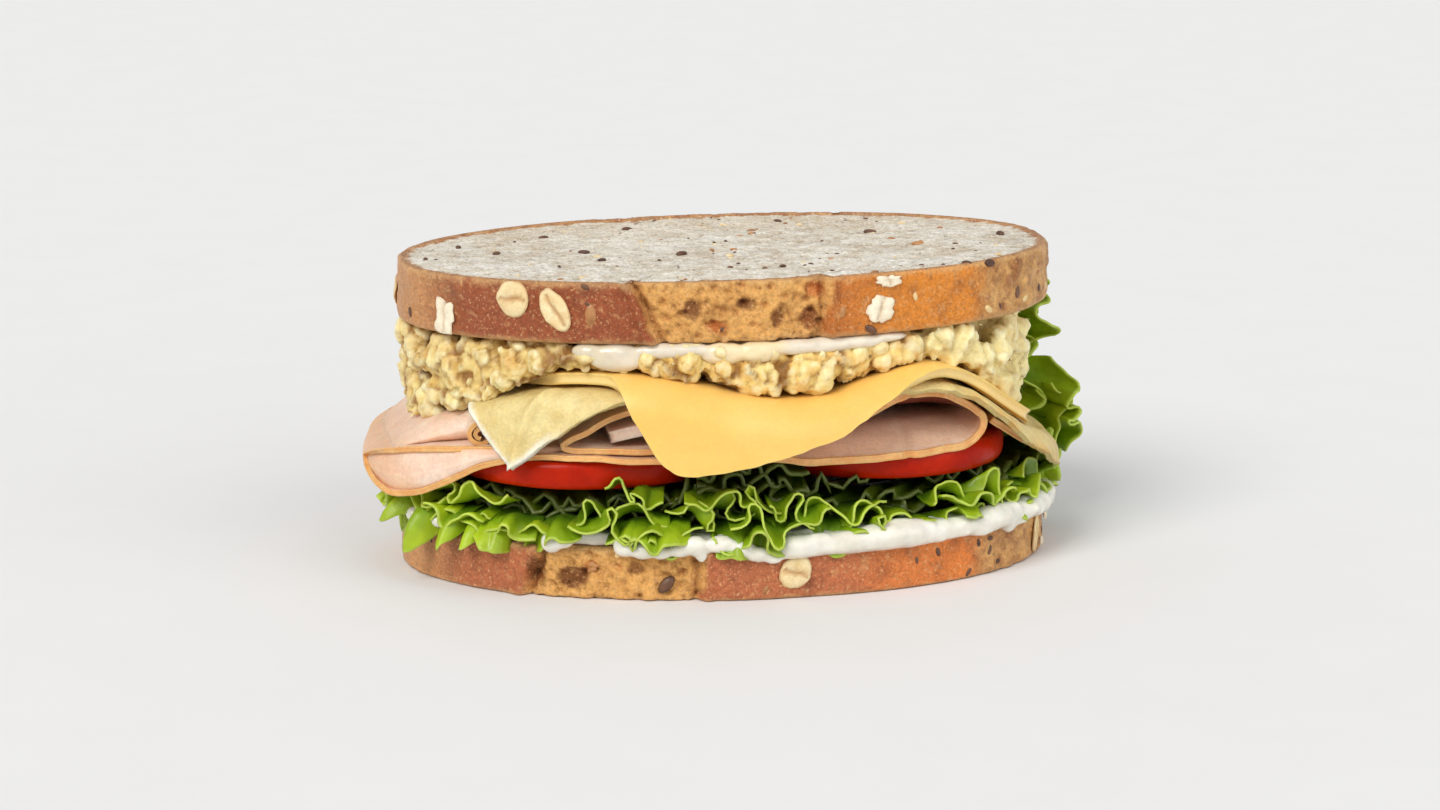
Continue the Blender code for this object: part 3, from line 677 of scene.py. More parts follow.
def crumb_relief(points):
    """Pores of the cut face: depth in mm below the face, which is never proud of it."""
    stretch = points * (0.75, 1.0, 1.0)
    small, pick = pits(stretch, 1.9, 61)
    big, pick_big = pits(stretch, 5.0, 71)
    depth = 0.75 * (1 - smoothstep(0.12, 0.55, small)) * (pick > 0.35)
    depth = depth + 1.1 * (1 - smoothstep(0.06, 0.26, big)) * (pick_big > 0.5)
    return depth + 0.28 * (1 + noise(points, 1.5, 81, 2)) + 0.2 * noise(points, 7.0, 83, 2) + 0.1


def crumb_colour(points, depth, from_rim):
    fine, patch = noise(points, 2.6, 85, 3), noise(points, 16.0, 87, 2)
    colour = shade((220, 202, 174), (255, 250, 238), 0.65 + 0.8 * fine + 0.3 * patch)
    colour = mix(colour, srgb(226, 200, 162), 0.35 * smoothstep(0, 45, points[:, 1]))
    # Pores are darkened with their depth: painted shade.
    colour = mix(colour, srgb(160, 136, 104), np.clip((depth - 0.35) / 0.9, 0, 1) * 0.85)
    wide = 1.6 * smoothstep(5, 40, points[:, 1]) * (1 + noise(points, 9.0, 89, 2))
    edge = 1 - smoothstep(0.9, 2.4, from_rim + 0.9 * fine - wide)
    return mix(colour, mix(srgb(166, 100, 56), srgb(222, 168, 110), 0.5 + 0.7 * fine), edge * 0.95)


CRUST_STEP = 0.5
FACE_RINGS = 5


def crust_rows(name, plan, outward, thickness):
    """The crust, row by row from its foot: (points, share of the height, torn share, relief)."""
    count = int(thickness / CRUST_STEP)
    rows = []
    for row in range(count + 1):
        height = row / count
        points = np.column_stack([plan, np.full(len(plan), height * thickness)])
        relief, torn = crust_relief(name, points, height)
        tuck = 0.9 * (1 - math.sqrt(max(0.0, 1 - max(abs(2 * height - 1) * 1.03 - 0.9, 0.0) / 0.13)))
        points[:, :2] += outward * (relief - tuck)[:, None]
        rows.append((points, height, torn, relief))
    return rows


def crumb_face(angle, level, rim, rim_points, z, up):
    """The cut face that shows, stretched to the crust's rim: points and colours."""
    turn = np.mod(angle[rim], 2 * math.pi)
    in_order = np.argsort(turn)
    radius = np.hypot(*rim_points[:, :2].T)[in_order]
    reach = np.interp(np.mod(angle, 2 * math.pi), turn[in_order], radius, period=2 * math.pi)
    x, y = level * reach * np.cos(angle), level * reach * np.sin(angle)
    face = np.column_stack([x, y, np.full(len(angle), z)])
    from_rim = (1 - level) * reach
    depth = crumb_relief(face) * smoothstep(0.0, 1.2, from_rim)
    face[:, 2] -= up * depth
    face[rim] = rim_points
    return face, crumb_colour(face, depth, from_rim)


def plain_rings(rim_points, up):
    """The face that is hidden, as rings that close in on one point."""
    rings = []
    for ring in range(1, FACE_RINGS + 1):
        left = 1 - ring / FACE_RINGS
        points = rim_points * (left, left, 1)
        points[:, 2] += up * 0.25 * (1 + noise(points, 2.5, 91, 3)) * min(1.0, ring / 2)
        rings.append(points)
    rings[-1][:, 2] = rings[-1][:, 2].mean()
    rings[-1] = rings[-1][:1]
    return rings


def bread_slice(name, centre_z, thickness, tilt, looks, up, count):
    """A slice; up is 1 where the face that shows is its top, and -1 where it is its underside."""
    angle, level = (grid.ravel() for grid in disc_plan(count))
    rim = grid_rim(count)
    edge = outline_radius(angle[rim])
    plan = np.stack([edge * np.cos(angle[rim]), edge * np.sin(angle[rim])], axis=1)
    outward = around(along_at(np.arctan2(plan[:, 1], plan[:, 0])), 0.0)[1]
    rows = crust_rows(name, plan, outward, thickness)[::-up]
    face, face_colour = crumb_face(angle, level, rim, rows[0][0], thickness if up > 0 else 0.0, up)
    crumb = np.ones(len(face))
    crumb[rim] = 0.0
    # Each layer is its points, colours, torn shares, and 1 where it is crumb.
    layers = [(face, face_colour, np.zeros(len(face)), crumb)]
    for points, height, torn, relief in rows[1:]:
        colour = crust_colour(name, points, height, torn, relief)
        layers.append((points, colour, torn, np.zeros(len(points))))
    for points in plain_rings(rows[-1][0], up):
        none = np.zeros(len(points))
        layers.append((points, crumb_colour(points, none, none + 5.0), none, none + 1.0))
    loops, start = [rim], len(face)
    for layer in layers[1:]:
        loops.append(np.arange(len(layer[0])) + start)
        start += len(layer[0])
    faces = grid_faces(count + 1, count + 1, flip=up < 0).tolist()
    for first, second in zip(loops, loops[1:]):
        faces += ring_faces(first, second)[:, ::-up].tolist()
    points, colour, torn, crumb = (np.concatenate(values) for values in zip(*layers))
    points[:, 2] += centre_z - thickness / 2
    points[:, 2] += points[:, 0] * math.tan(tilt)
    obj = make_piece(name + "_loaf", points, faces, looks["crust"], "bread", (name,), colour, torn)
    obj.data.materials.append(looks["crumb"])
    is_crumb = [int(all(crumb[v] > 0.5 for v in face)) for face in faces]
    obj.data.polygons.foreach_set("material_index", is_crumb)
    turn_faces_out(obj)


# Seeds and oats


def ball_mesh():
    build = bmesh.new()
    bmesh.ops.create_icosphere(build, subdivisions=2, radius=1.0)
    points = np.array([v.co for v in build.verts])
    faces = [[v.index for v in f.verts] for f in build.faces]
    build.free()
    return points, faces


BALL = ball_mesh()


def on_crust(name, along, height):
    """(point, outward, upward) on a slice's crust; height runs from 0 to 1 up the slice."""
    thickness = LOWER_TOP if name == "bread_bottom" else UPPER_THICKNESS
    plan, outward = around(along, 0.0)
    local = np.array([[plan[0], plan[1], height * thickness]])
    relief = float(crust_relief(name, local, height)[0][0])
    x, y = plan + outward * relief
    z = height * LOWER_TOP if name == "bread_bottom" else float(upper_z(x, height))
    return np.array([x, y, z]), np.array([*outward, 0.0]), np.array([0.0, 0.0, 1.0])


def placed(points, place, outward, upward, turn):
    """Points of a small thing laid flat on a surface and turned on it, in degrees."""
    side = np.cross(upward, outward)
    c, d = math.cos(math.radians(turn)), math.sin(math.radians(turn))
    across, along = side * c + upward * d, upward * c - side * d
    return place + points[:, :1] * across + points[:, 1:2] * along + points[:, 2:] * outward


def flake(wide, tall, thick, ragged, seed):
    """A rolled oat: a thin uneven disc with a crease down its middle. Returns points, faces, attributes."""
    rings, columns = 7, 26
    angle = np.arange(columns) * 2 * math.pi / columns
    circle = np.column_stack([np.cos(angle), np.sin(angle), np.full(columns, float(seed))])
    reach = 1 + ragged * (noise(circle, 0.7, seed, 2) + 0.5 * noise(circle, 0.25, seed + 1))
    points, crease = [], []
    for side in (1, -1):
        for ring in range(rings):
            share = math.sin((ring + 0.25) / (rings - 0.75) * math.pi / 2)
            flat = circle[:, :2] * (reach * share)[:, None]
            seeds = np.column_stack([flat * 2.2, np.full(columns, float(seed))])
            body = thick * math.sqrt(max(1 - share**4, 0.0)) * (1 + 0.5 * noise(seeds, 0.8, seed + 2, 2))
            line = np.exp(-((flat[:, 0] + 0.12 * np.sin(3 * flat[:, 1])) / 0.13) ** 2)
            line = line * (np.abs(flat[:, 1]) < 0.8)
            height = side * body * (0.5 if side > 0 else 0.2) - 0.5 * thick * line * (side > 0)
            bend = 0.12 * (wide + tall) / 4 * (flat**2).sum(axis=1) * (noise(seeds, 1.5, seed + 3) + 0.1)
            points.append(np.column_stack([flat * (wide / 2, tall / 2), height + bend]))
            # The crease share marks the groove and the rim, which are darkened later: partly the grain's own
            # groove, partly painted shade.
            crease.append(np.clip(line + 0.7 * smoothstep(0.86, 1.0, share), 0, 1))
    points = np.concatenate(points)
    start = rings * columns
    faces = grid_faces(rings, columns, wrap=True).tolist()
    faces += grid_faces(rings, columns, start, True, True).tolist()
    last, low = (rings - 1) * columns, start + (rings - 1) * columns
    faces += [[last + k, last + (k + 1) % columns, low + (k + 1) % columns, low + k] for k in range(columns)]
    faces += [list(range(columns))[::-1], [start + k for k in range(columns)]]
    return points, faces, {"crease": np.concatenate(crease)}


FRONT_OATS = (
    # slice, x, height share, width, height, turn, raggedness
    ("bread_top", -67.5, 0.29, 5.8, 8.8, -8, 0.5), ("bread_top", -52.8, 0.70, 8.6, 7.6, 80, 0.07),
    ("bread_top", -43.8, 0.55, 6.2, 10.6, 28, 0.08), ("bread_top", 30.6, 0.87, 6.4, 2.8, 4, 0.45),
    ("bread_top", 28.8, 0.42, 6.6, 6.8, -30, 0.42), ("bread_bottom", 9.2, 0.52, 8.4, 7.4, 60, 0.12),
    ("bread_bottom", 72.0, 0.46, 3.4, 9.6, -12, 0.14), ("bread_bottom", 76.0, 0.72, 3.6, 4.2, 20, 0.4),
    ("bread_bottom", 74.0, 0.22, 2.0, 2.2, 0, 0.3),
)  # fmt: skip


def oats(looks):
    """Rolled oats and broken flakes baked onto the crusts."""
    rng = np.random.default_rng(51)
    spots = [(name, float(front_along(x)), *rest) for name, x, *rest in FRONT_OATS]
    back = float(along_at(0.1))
    for name in ("bread_top", "bread_bottom"):
        for _ in range(9):
            spots.append((
                name, rng.uniform(back, RIM_LENGTH - 6), rng.uniform(0.2, 0.8), rng.uniform(4, 8),
                rng.uniform(5, 9), rng.uniform(0, 180), rng.uniform(0.06, 0.35),
            ))  # fmt: skip
    parts = []
    for k, (name, along, share, wide, tall, turn, ragged) in enumerate(spots):
        points, faces, attributes = flake(wide, tall, 1.1, ragged, 800 + 7 * k)
        place, outward, upward = on_crust(name, along, share)
        limit = LOWER_TOP if name == "bread_bottom" else UPPER_THICKNESS
        points = placed(points, place + outward * 0.35, outward, upward, turn)
        high = place[2] + (1 - share) * limit - 0.2
        points[:, 2] = np.clip(points[:, 2], place[2] - share * limit + 0.3, high)
        white = np.full(len(points), 1.0 if ragged > 0.25 else 0.0)
        parts.append((points, faces, attributes | {"white": white}))
    points, faces, attributes = joined(parts)
    patch = 0.5 + 0.6 * noise(points, 1.6, 861, 3)
    colour = shade((226, 184, 116), (252, 234, 186), patch + 0.15)
    colour = mix(colour, srgb(252, 244, 224), 0.7 * attributes["white"])
    # Darker along the crease and the rim: partly the grain's own colour, partly painted shade.
    colour = mix(colour, srgb(184, 126, 66), 0.75 * attributes["crease"] * (1 - 0.5 * attributes["white"]))
    make_closed_piece("rolled_oats", points, faces, looks["oat"], "bread", (), colour)


def seed_mesh(size):
    """An oval grain, narrower at one end."""
    body = BALL[0] * (0.5 * size, size, 0.34 * size)
    return body * (1 - 0.22 * np.clip(body[:, 1:2] / size, 0, 1))


CRUMB_LINSEEDS = (
    # x, y, size, on the cut face that shows
    (-33.6, -1.7, 1.7), (-53.8, 1.1, 1.5), (-30.6, -13.6, 1.4), (-11.5, -9.2, 1.9), (37.0, 12.4, 1.8),
    (67.0, 2.1, 2.0), (-70.5, -3.0, 1.2), (-62.0, 12.0, 1.4), (50.4, -36.2, 1.6), (-3.0, -30.0, 1.0),
    (4.5, -33.0, 0.9), (9.0, -30.5, 1.0), (-41.0, 22.0, 1.5), (-20.0, 30.0, 1.6), (18.0, 34.0, 1.4),
)  # fmt: skip
FRONT_SEEDS = (
    # kind, slice, x, height share, turn, size, sink
    ("linseeds", "bread_bottom", -19.8, 0.36, -42, 2.9, -0.05),
    ("linseeds", "bread_bottom", 43.6, 0.66, 20, 1.4, 0.1),
    ("linseeds", "bread_bottom", 57.6, 0.72, 80, 1.3, 0.1),
    ("linseeds", "bread_top", 26.4, 0.10, 60, 1.9, 0.0),
    ("linseeds", "bread_top", -74.6, 0.25, 10, 1.4, 0.0),
    ("malted_grains", "bread_top", -36.3, 0.50, 0, 3.4, 0.2),
    ("linseeds", "bread_top", 64.5, 0.38, 10, 2.0, 0.1),
    ("malted_grains", "bread_top", 62.0, 0.60, 40, 2.4, 0.1),
    ("linseeds", "bread_top", 72.0, 0.30, 30, 1.6, 0.1),
    ("malted_grains", "bread_bottom", -36.7, 0.66, 80, 1.7, 0.1),
    ("linseeds", "bread_top", -37.5, 0.93, 60, 1.2, 0.0),
    ("linseeds", "bread_top", 56.0, 0.95, 80, 1.9, 0.0),
)
SEED_SHADES = {
    "linseeds": ((66, 38, 24), (124, 84, 58)),
    "malted_grains": ((150, 92, 48), (206, 150, 92)),
    "pale_grains": ((226, 190, 126), (248, 226, 176)),
}


def crumb_seeds(rng, add):
    """Seeds in the cut face that shows."""

    def in_crumb(kind, x, y, turn, size, sink):
        place = np.array([x, y, float(upper_z(x, 1.0)) - 0.3])
        add(kind, place, np.array([0.0, 0.0, 1.0]), np.array([0.0, 1.0, 0.0]), turn, size, sink)

    for x, y, size in CRUMB_LINSEEDS:
        in_crumb("linseeds", x, y, rng.uniform(0, 180), size, -0.05)
    for _ in range(90):
        angle, share = rng.uniform(0, 2 * math.pi), math.sqrt(rng.uniform(0, 0.88))
        radius = outline_radius(angle) * share
        kind = rng.choice(list(SEED_SHADES), p=[0.5, 0.2, 0.3])
        size = rng.uniform(0.35, 0.95) if kind == "linseeds" else rng.uniform(0.5, 1.4)
        in_crumb(kind, radius * math.cos(angle), radius * math.sin(angle), rng.uniform(0, 180), size, 0.12)
    in_crumb("malted_grains", 45.0, -6.9, 80, 1.9, 0.05)


def crust_seeds(rng, add):
    """Seeds on the crusts: those that the photo shows, then many small ones where it is rough or unseen."""
    for kind, name, x, share, *rest in FRONT_SEEDS:
        add(kind, *on_crust(name, float(front_along(x)), share), *rest)
    for name in ("bread_top", "bread_bottom"):
        for _ in range(60):
            along = rng.uniform(0, RIM_LENGTH)
            edge = around(along, 0.0)[0]
            busy = edge[0] > 54 or edge[1] > 0
            if not busy and rng.uniform() < 0.75:
                continue
            where = on_crust(name, along, rng.uniform(0.12, 0.88))
            kind = rng.choice(list(SEED_SHADES), p=[0.35, 0.35, 0.3])
            add(kind, *where, rng.uniform(0, 180), rng.uniform(0.7, 1.8), 0.15)


def small_seeds(looks):
    """Linseeds, malted grains and pale grains, in the cut face and on the crusts."""
    rng = np.random.default_rng(61)
    kinds = {kind: [] for kind in SEED_SHADES}

    def add(kind, place, outward, upward, turn, size, sink):
        points = placed(seed_mesh(size), place - outward * sink * size, outward, upward, turn)
        kinds[kind].append((points, BALL[1], {}))

    crumb_seeds(rng, add)
    crust_seeds(rng, add)
    for kind, parts in kinds.items():
        points, faces, _ = joined(parts)
        colour = shade(*SEED_SHADES[kind], 0.5 + 0.7 * noise(points, 1.5, 871, 2))
        make_piece(kind, points, faces, looks["seed"], "bread", (), colour)


# Fused blobs: sauce and salad


def remeshed(parts, voxel):
    """Fuses overlapping closed meshes into one skin; returns its points and quads."""
    points, faces, _ = joined([(*part, {}) for part in parts])
    mesh = bpy.data.meshes.new("work")
    mesh.from_pydata(points.tolist(), [], faces)
    obj = linked("work", mesh)
    fuse = obj.modifiers.new("fuse", "REMESH")
    fuse.mode = "VOXEL"
    fuse.voxel_size = voxel
    graph = bpy.context.evaluated_depsgraph_get()
    skin = obj.evaluated_get(graph).to_mesh()
    out = np.empty(len(skin.vertices) * 3)
    skin.vertices.foreach_get("co", out)
    corners = np.empty(len(skin.loops), np.int64)
    skin.loops.foreach_get("vertex_index", corners)
    obj.evaluated_get(graph).to_mesh_clear()
    bpy.data.objects.remove(obj)
    return out.reshape(-1, 3), corners.reshape(-1, 4)


def neighbours_mean(points, quads):
    total, count = np.zeros_like(points), np.zeros(len(points))
    for k in range(4):
        a, b = quads[:, k], quads[:, (k + 1) % 4]
        for here, there in ((a, b), (b, a)):
            np.add.at(total, here, points[there])
            np.add.at(count, here, 1)
    return total / np.maximum(count, 1)[:, None]


def normals_of(points, quads):
    across = np.cross(points[quads[:, 2]] - points[quads[:, 0]], points[quads[:, 3]] - points[quads[:, 1]])
    total = np.zeros_like(points)
    for k in range(4):
        np.add.at(total, quads[:, k], across)
    return total / np.maximum(np.linalg.norm(total, axis=1), 1e-9)[:, None]


def relaxed(points, quads, times):
    for _ in range(times):
        points = points * 0.4 + neighbours_mean(points, quads) * 0.6
    return points


def hollowness(points, quads, times):
    """How deep each point lies below its smoothed surroundings, in mm."""
    return np.einsum("ij,ij->i", relaxed(points, quads, times) - points, normals_of(points, quads))


def turned(points, rng):
    """Points turned at random about the origin."""
    q, _ = np.linalg.qr(rng.normal(size=(3, 3)))
    return points @ (q * np.sign(np.linalg.det(q)))


def chunk(rng, place, size, ragged, stretch=(1, 1, 1), blocky=0.0):
    """A lumpy closed blob. A blocky one is pulled towards a box, and is stretched and turned at random."""
    points = BALL[0] * (1 + ragged * rng.uniform(-1, 1, (len(BALL[0]), 1)))
    if blocky:
        box = 1 / (np.abs(BALL[0]) ** 6).sum(axis=1) ** (1 / 6)
        points = points * (1 - blocky + blocky * box)[:, None]
        points = turned(points * rng.uniform(0.6, 1.3, 3), rng)
    return points * size * np.array(stretch) + place, BALL[1]


def ring_slab(inner, outer, low, high):
    """A closed band that runs round under the outline; low and high are functions of plan x and y."""
    count = 400
    along = np.arange(count) * RIM_LENGTH / count
    rows = []
    for inset, level in ((inner, low), (outer, low), (outer, high), (inner, high)):
        plan, _ = around(along, -inset)
        rows.append(np.column_stack([plan, level(plan[:, 0], plan[:, 1])]))
    points = np.concatenate(rows)
    first, last = np.arange(count), np.arange(count) + 3 * count
    return points, grid_faces(4, count, wrap=True).tolist() + ring_faces(last, first).tolist()


def salad_low(x, y):
    """Underside of the heap: on the ham at the left end, on the sheets elsewhere."""
    front = smoothstep(-66, -46, x)
    back = smoothstep(-75, -68, x)
    share = np.where(np.asarray(y) < 5, front, back)
    return ham_top(x) + 0.3 + (SALAD_LIFT - 0.3) * share


def salad_high(x, y):
    return upper_z(x, 0) - 0.4


SALAD_CHUNKS = (
    # how many, smallest and largest half size, and how far in from the outline, from and to
    (230, 2.9, 4.8, 0.0, 4.0),
    (420, 1.3, 2.4, 0.2, 5.0),
    (260, 0.7, 1.2, 0.5, 4.0),
)


def salad_chunks():
    """A core under the slice with chunks of three sizes crowded round it."""
    rng = np.random.default_rng(11)
    parts = [ring_slab(15.0, 9.5, lambda x, y: salad_low(x, y) - 0.8, salad_high)]
    for number, smallest, largest, shallow, depth in SALAD_CHUNKS:
        for _ in range(number):
            along = rng.uniform(0, RIM_LENGTH)
            size = rng.uniform(smallest, largest)
            edge = around(along, 0)[0]
            low, top = float(salad_low(*edge)), float(salad_high(*edge))
            size = min(size, 0.42 * (top - low))
            reach = size * 0.85
            out = -rng.uniform(shallow, depth) - reach - 3.8 * float(smoothstep(62, 72, edge[0]))
            (x, y), _ = around(along, out)
            z = rng.uniform(low + reach, max(top - reach, low + reach + 0.1))
            creamy = edge[0] > 36 and y < 14
            size = 0.85 * size if creamy else size
            parts.append(chunk(rng, np.array([x, y, z]), size, 0.1, blocky=rng.uniform(0.6, 1.0)))
    return parts


def salad_colour(points, deep, painted_crack_shade, creamy):
    """Straw and gold lumps, with painted light where they stand out and painted shade between them and deep
    under the slice; creamy at the right end.
    """
    angle = np.arctan2(points[:, 1], points[:, 0])
    inside = outline_radius(angle) - np.hypot(points[:, 0], points[:, 1])
    inside = inside - 4.0 * smoothstep(56, 70, points[:, 0])
    patch, fine = noise(points, 6.0, 111, 3), noise(points, 1.4, 113, 2)
    tone = 0.5 + 0.7 * patch + 0.3 * fine
    straw = shade((220, 176, 86), (255, 236, 160), tone)
    gold = shade((244, 190, 90), (255, 240, 160), tone)
    colour = mix(straw, gold, smoothstep(-40, 5, points[:, 0] + 12 * patch))
    colour = mix(colour, srgb(255, 240, 172), 0.75 * creamy)
    # Painted highlight on the lumps that stand out.
    colour = mix(colour, srgb(255, 248, 206), np.clip(-deep / 0.6, 0, 1) * 0.75)
    ochre = smoothstep(0.25, 0.6, noise(points, 6.0, 117, 2)) * (0.55 - 0.35 * creamy)
    colour = mix(colour, srgb(216, 160, 66), ochre)
    # Painted shade in the hollows and in the cracks between lumps.
    painted_crevice_shade = np.clip(np.clip(deep / 0.5, 0, 1) + painted_crack_shade, 0, 1)
    colour = mix(colour, srgb(146, 88, 24), painted_crevice_shade * (0.85 - 0.55 * creamy))
    # Painted shade deeper in, under the slice.
    colour = mix(colour, srgb(128, 76, 22), (0.9 - 0.7 * creamy) * smoothstep(3.6, 8.0, inside))
    herb = smoothstep(0.72, 0.82, noise(points, 1.1, 119, 1)) * (1 - creamy)
    return mix(colour, srgb(110, 104, 44), 0.5 * herb)


def chicken_salad(looks):
    """Chunks of chicken and egg bound in dressing: dense lumps fused into one heap."""
    points, quads = remeshed(salad_chunks(), 0.64)
    normal = normals_of(points, quads)
    creamy = smoothstep(32, 44, points[:, 0]) * (points[:, 1] < 16)
    bent = points * (1.0, 1.0, 0.8) + 0.9 * noise(points, 4.0, 101, 2)[:, None]
    lump, block = pits(bent, 5.8, 105)
    crumb, flake_step = pits(bent, 2.0, 109)
    lump, crumb = lump**2, crumb**2
    relief = 0.9 * (0.3 - lump) + 1.6 * (block - 0.5) + 0.4 * (0.3 - crumb) + 0.5 * (flake_step - 0.5)
    points = points + normal * relief[:, None]
    low, top = salad_low(points[:, 0], points[:, 1]), salad_high(points[:, 0], points[:, 1])
    points[:, 2] = np.clip(points[:, 2], np.minimum(low, top) - 1.2, top + 0.2)
    # Where the lumps meet, for painted shade in the cracks.
    painted_crack_shade = smoothstep(0.3, 0.75, lump) * 0.8 + 0.3 * smoothstep(0.35, 0.8, crumb)
    colour = salad_colour(points, hollowness(points, quads, 8), painted_crack_shade, creamy)
    make_piece("chicken_salad_heap", points, quads, looks["salad"], "salad", ("chicken_salad",), colour)


def mayo_colour(points):
    return shade((230, 225, 208), (246, 244, 234), 0.5 + 0.5 * noise(points, 4.0, 121, 2))


SAUCE_BLOBS = (
    # x at the front, height, size, how wide for its height
    (-74, 14.4, 2.0, 1.2), (-69, 14.6, 1.8, 1.2), (-45, 13.4, 2.8, 1.0), (-42, 13.8, 2.0, 1.2),
    (-29, 13.2, 2.7, 1.1), (-25, 12.2, 2.2, 1.4), (-21, 11.7, 1.7, 1.5), (-17, 12.4, 1.8, 1.5),
    (-13.5, 13.4, 2.5, 1.1), (-12.2, 10.8, 1.5, 0.9), (-8, 13.6, 2.2, 1.6), (-3, 12.4, 2.2, 1.5),
    (0.5, 10.9, 1.9, 1.6), (4, 9.9, 1.5, 1.5), (62, 10.6, 1.7, 1.1),
)  # fmt: skip
SAUCE_BEADS = (
    # x at the front, half width, half height
    (-37, 4.5, 2.2), (-31, 7.0, 3.5), (-20, 7.5, 1.9), (-15, 6, 1.6), (-7, 5.5, 2.8),
    (1, 5.5, 2.7), (9, 7.5, 1.9), (17, 7.5, 2.0), (25, 7.0, 1.7), (31, 5.5, 1.2),
)  # fmt: skip


def lower_sauce(looks):
    """Mayonnaise squeezed out over the lower slice: a thick ribbon at the right, blobs elsewhere."""
    rng = np.random.default_rng(23)
    parts = [ring_slab(6.0, 2.0, lambda x, y: 0 * x + LOWER_TOP + 0.2, lambda x, y: 0 * x + LOWER_TOP + 3.4)]

    def blob(along, out, z, size, stretch):
        (x, y), _ = around(along, out)
        parts.append(chunk(rng, np.array([x, y, z]), size, 0.02, stretch))

    start, end = float(front_along(8.0)), float(along_at(math.radians(-4)))
    count = int((end - start) / 1.4)
    for k in range(count):
        share = k / count
        along = start + (end - start) * k / count
        wave = noise_at(along, 0.0, 9.0, 131)
        size = 3.5 + 0.8 * wave - 0.9 * share
        z = LOWER_TOP + 1.2 - 0.8 * (1 - share) ** 3 + 0.5 * wave
        blob(along, 1.0 - 0.3 * size + 0.5 * wave, z, size, (1, 1, 0.92))
    for k in range(60):
        along = rng.uniform(start, end)
        size = rng.uniform(1.1, 1.9)
        out, z = rng.uniform(0.6, 1.6), LOWER_TOP + rng.uniform(-0.8, 3.2)
        blob(along, out, z, size, (rng.uniform(1.2, 2.2), 1, 0.8))
    for x, z, size, wide in SAUCE_BLOBS:
        blob(float(front_along(x)), 1.1 - 0.2 * size, z, size, (wide, 1.0, 1.0))
    start, count = float(along_at(0.0)), 150
    for k in range(count):
        along = start + (RIM_LENGTH - start) * k / count
        amount = noise_at(along, 5.0, 14.0, 137)
        if amount > -0.15:
            size = 2.0 + 0.9 * amount + rng.uniform(-0.3, 0.3)
            blob(along, 0.8 - 0.25 * size, LOWER_TOP + 1.4 + rng.uniform(-0.7, 0.9), size, (1.2, 1, 0.95))
    points, quads = remeshed(parts, 0.7)
    points = relaxed(points, quads, 2)
    points = points + normals_of(points, quads) * (0.3 * noise(points, 4.0, 133, 2))[:, None]
    colour = mayo_colour(points)
    make_piece("lower_sauce_lobes", points, quads, looks["mayo"], "sauce", ("sauce_bottom",), colour)


def upper_sauce(looks):
    """Beads of sauce under the upper slice, along the middle of the front, creamier at its middle."""
    parts = []
    for x, wide, tall in SAUCE_BEADS:
        along = float(front_along(x))
        for inset, deep in ((0.4, 1.0), (4.0, 1.6)):
            (px, py), outward = around(along, -inset - 1.8)
            place = np.array([px, py, float(upper_z(px, 0)) - tall * 0.95])
            turn = math.atan2(outward[0], -outward[1])
            c, d = math.cos(turn), math.sin(turn)
            points = BALL[0] * (wide, 2.4 * deep, tall) @ np.array([[c, d, 0], [-d, c, 0], [0, 0, 1]])
            parts.append((points + place, BALL[1]))
    points, quads = remeshed(parts, 0.5)
    points = relaxed(points, quads, 3)
    points[:, 2] += 0.15 * noise(points, 3.0, 143, 2)
    x = points[:, 0]
    colour = mix(mayo_colour(points), srgb(228, 210, 182), 0.55)
    colour = mix(colour, srgb(244, 222, 176), 0.9 * smoothstep(-12, -8, x) * (1 - smoothstep(4, 9, x)))
    colour = mix(colour, srgb(222, 208, 178), 0.8 * smoothstep(-28, -34, x))
    make_piece("upper_sauce_beads", points, quads, looks["mayo"], "sauce", ("sauce_top",), colour)


# Lettuce


def ruffle(rng, s, step, rows, wave, fold, seed):
    """The folds of a leaf's margin, row by row from base to rim: share, slide along, rise off the leaf.

    The rim meanders like a river: fold is its largest turn in radians, wave its length."""
    columns = len(s)
    seeds = strip(s, seed)
    pace = 2 * math.pi / (wave * (1 + 0.55 * noise(seeds, 8.0, seed)))
    phase = np.cumsum(pace) * step + rng.uniform(0, 6.28)
    local = 0.8 + 0.5 * noise(seeds, 7.0, seed + 3)
    ends = np.clip(np.minimum(s, s[-1] - s) / 6.0, 0, 1) ** 0.7
    for row in range(rows):
        share = (row / (rows - 1)) ** 0.8
        turn = fold * local * smoothstep(0.12, 1.0, share) * (0.35 + 0.65 * ends)
        theta = turn * (np.sin(phase) + 0.35 * np.sin(2.37 * phase + seed))
        mean = np.maximum(np.cos(theta).mean(), 0.25)
        slide = np.cumsum(np.cos(theta) / mean - 1) * step
        rise = np.cumsum(np.sin(theta)) * step / mean
        rise = rise - np.convolve(np.pad(rise, 16, mode="edge"), np.ones(33) / 33, mode="valid")
        slide = slide - np.linspace(slide[0], slide[-1], columns)
        places = np.column_stack([s, np.full(columns, share * 6), np.full(columns, seed)])
        second = noise(places, 2.6, seed + 9)
        rise = rise + 0.5 * second * share + 1.2 * share * noise(seeds, 22.0, seed + 11)
        yield share, slide, rise


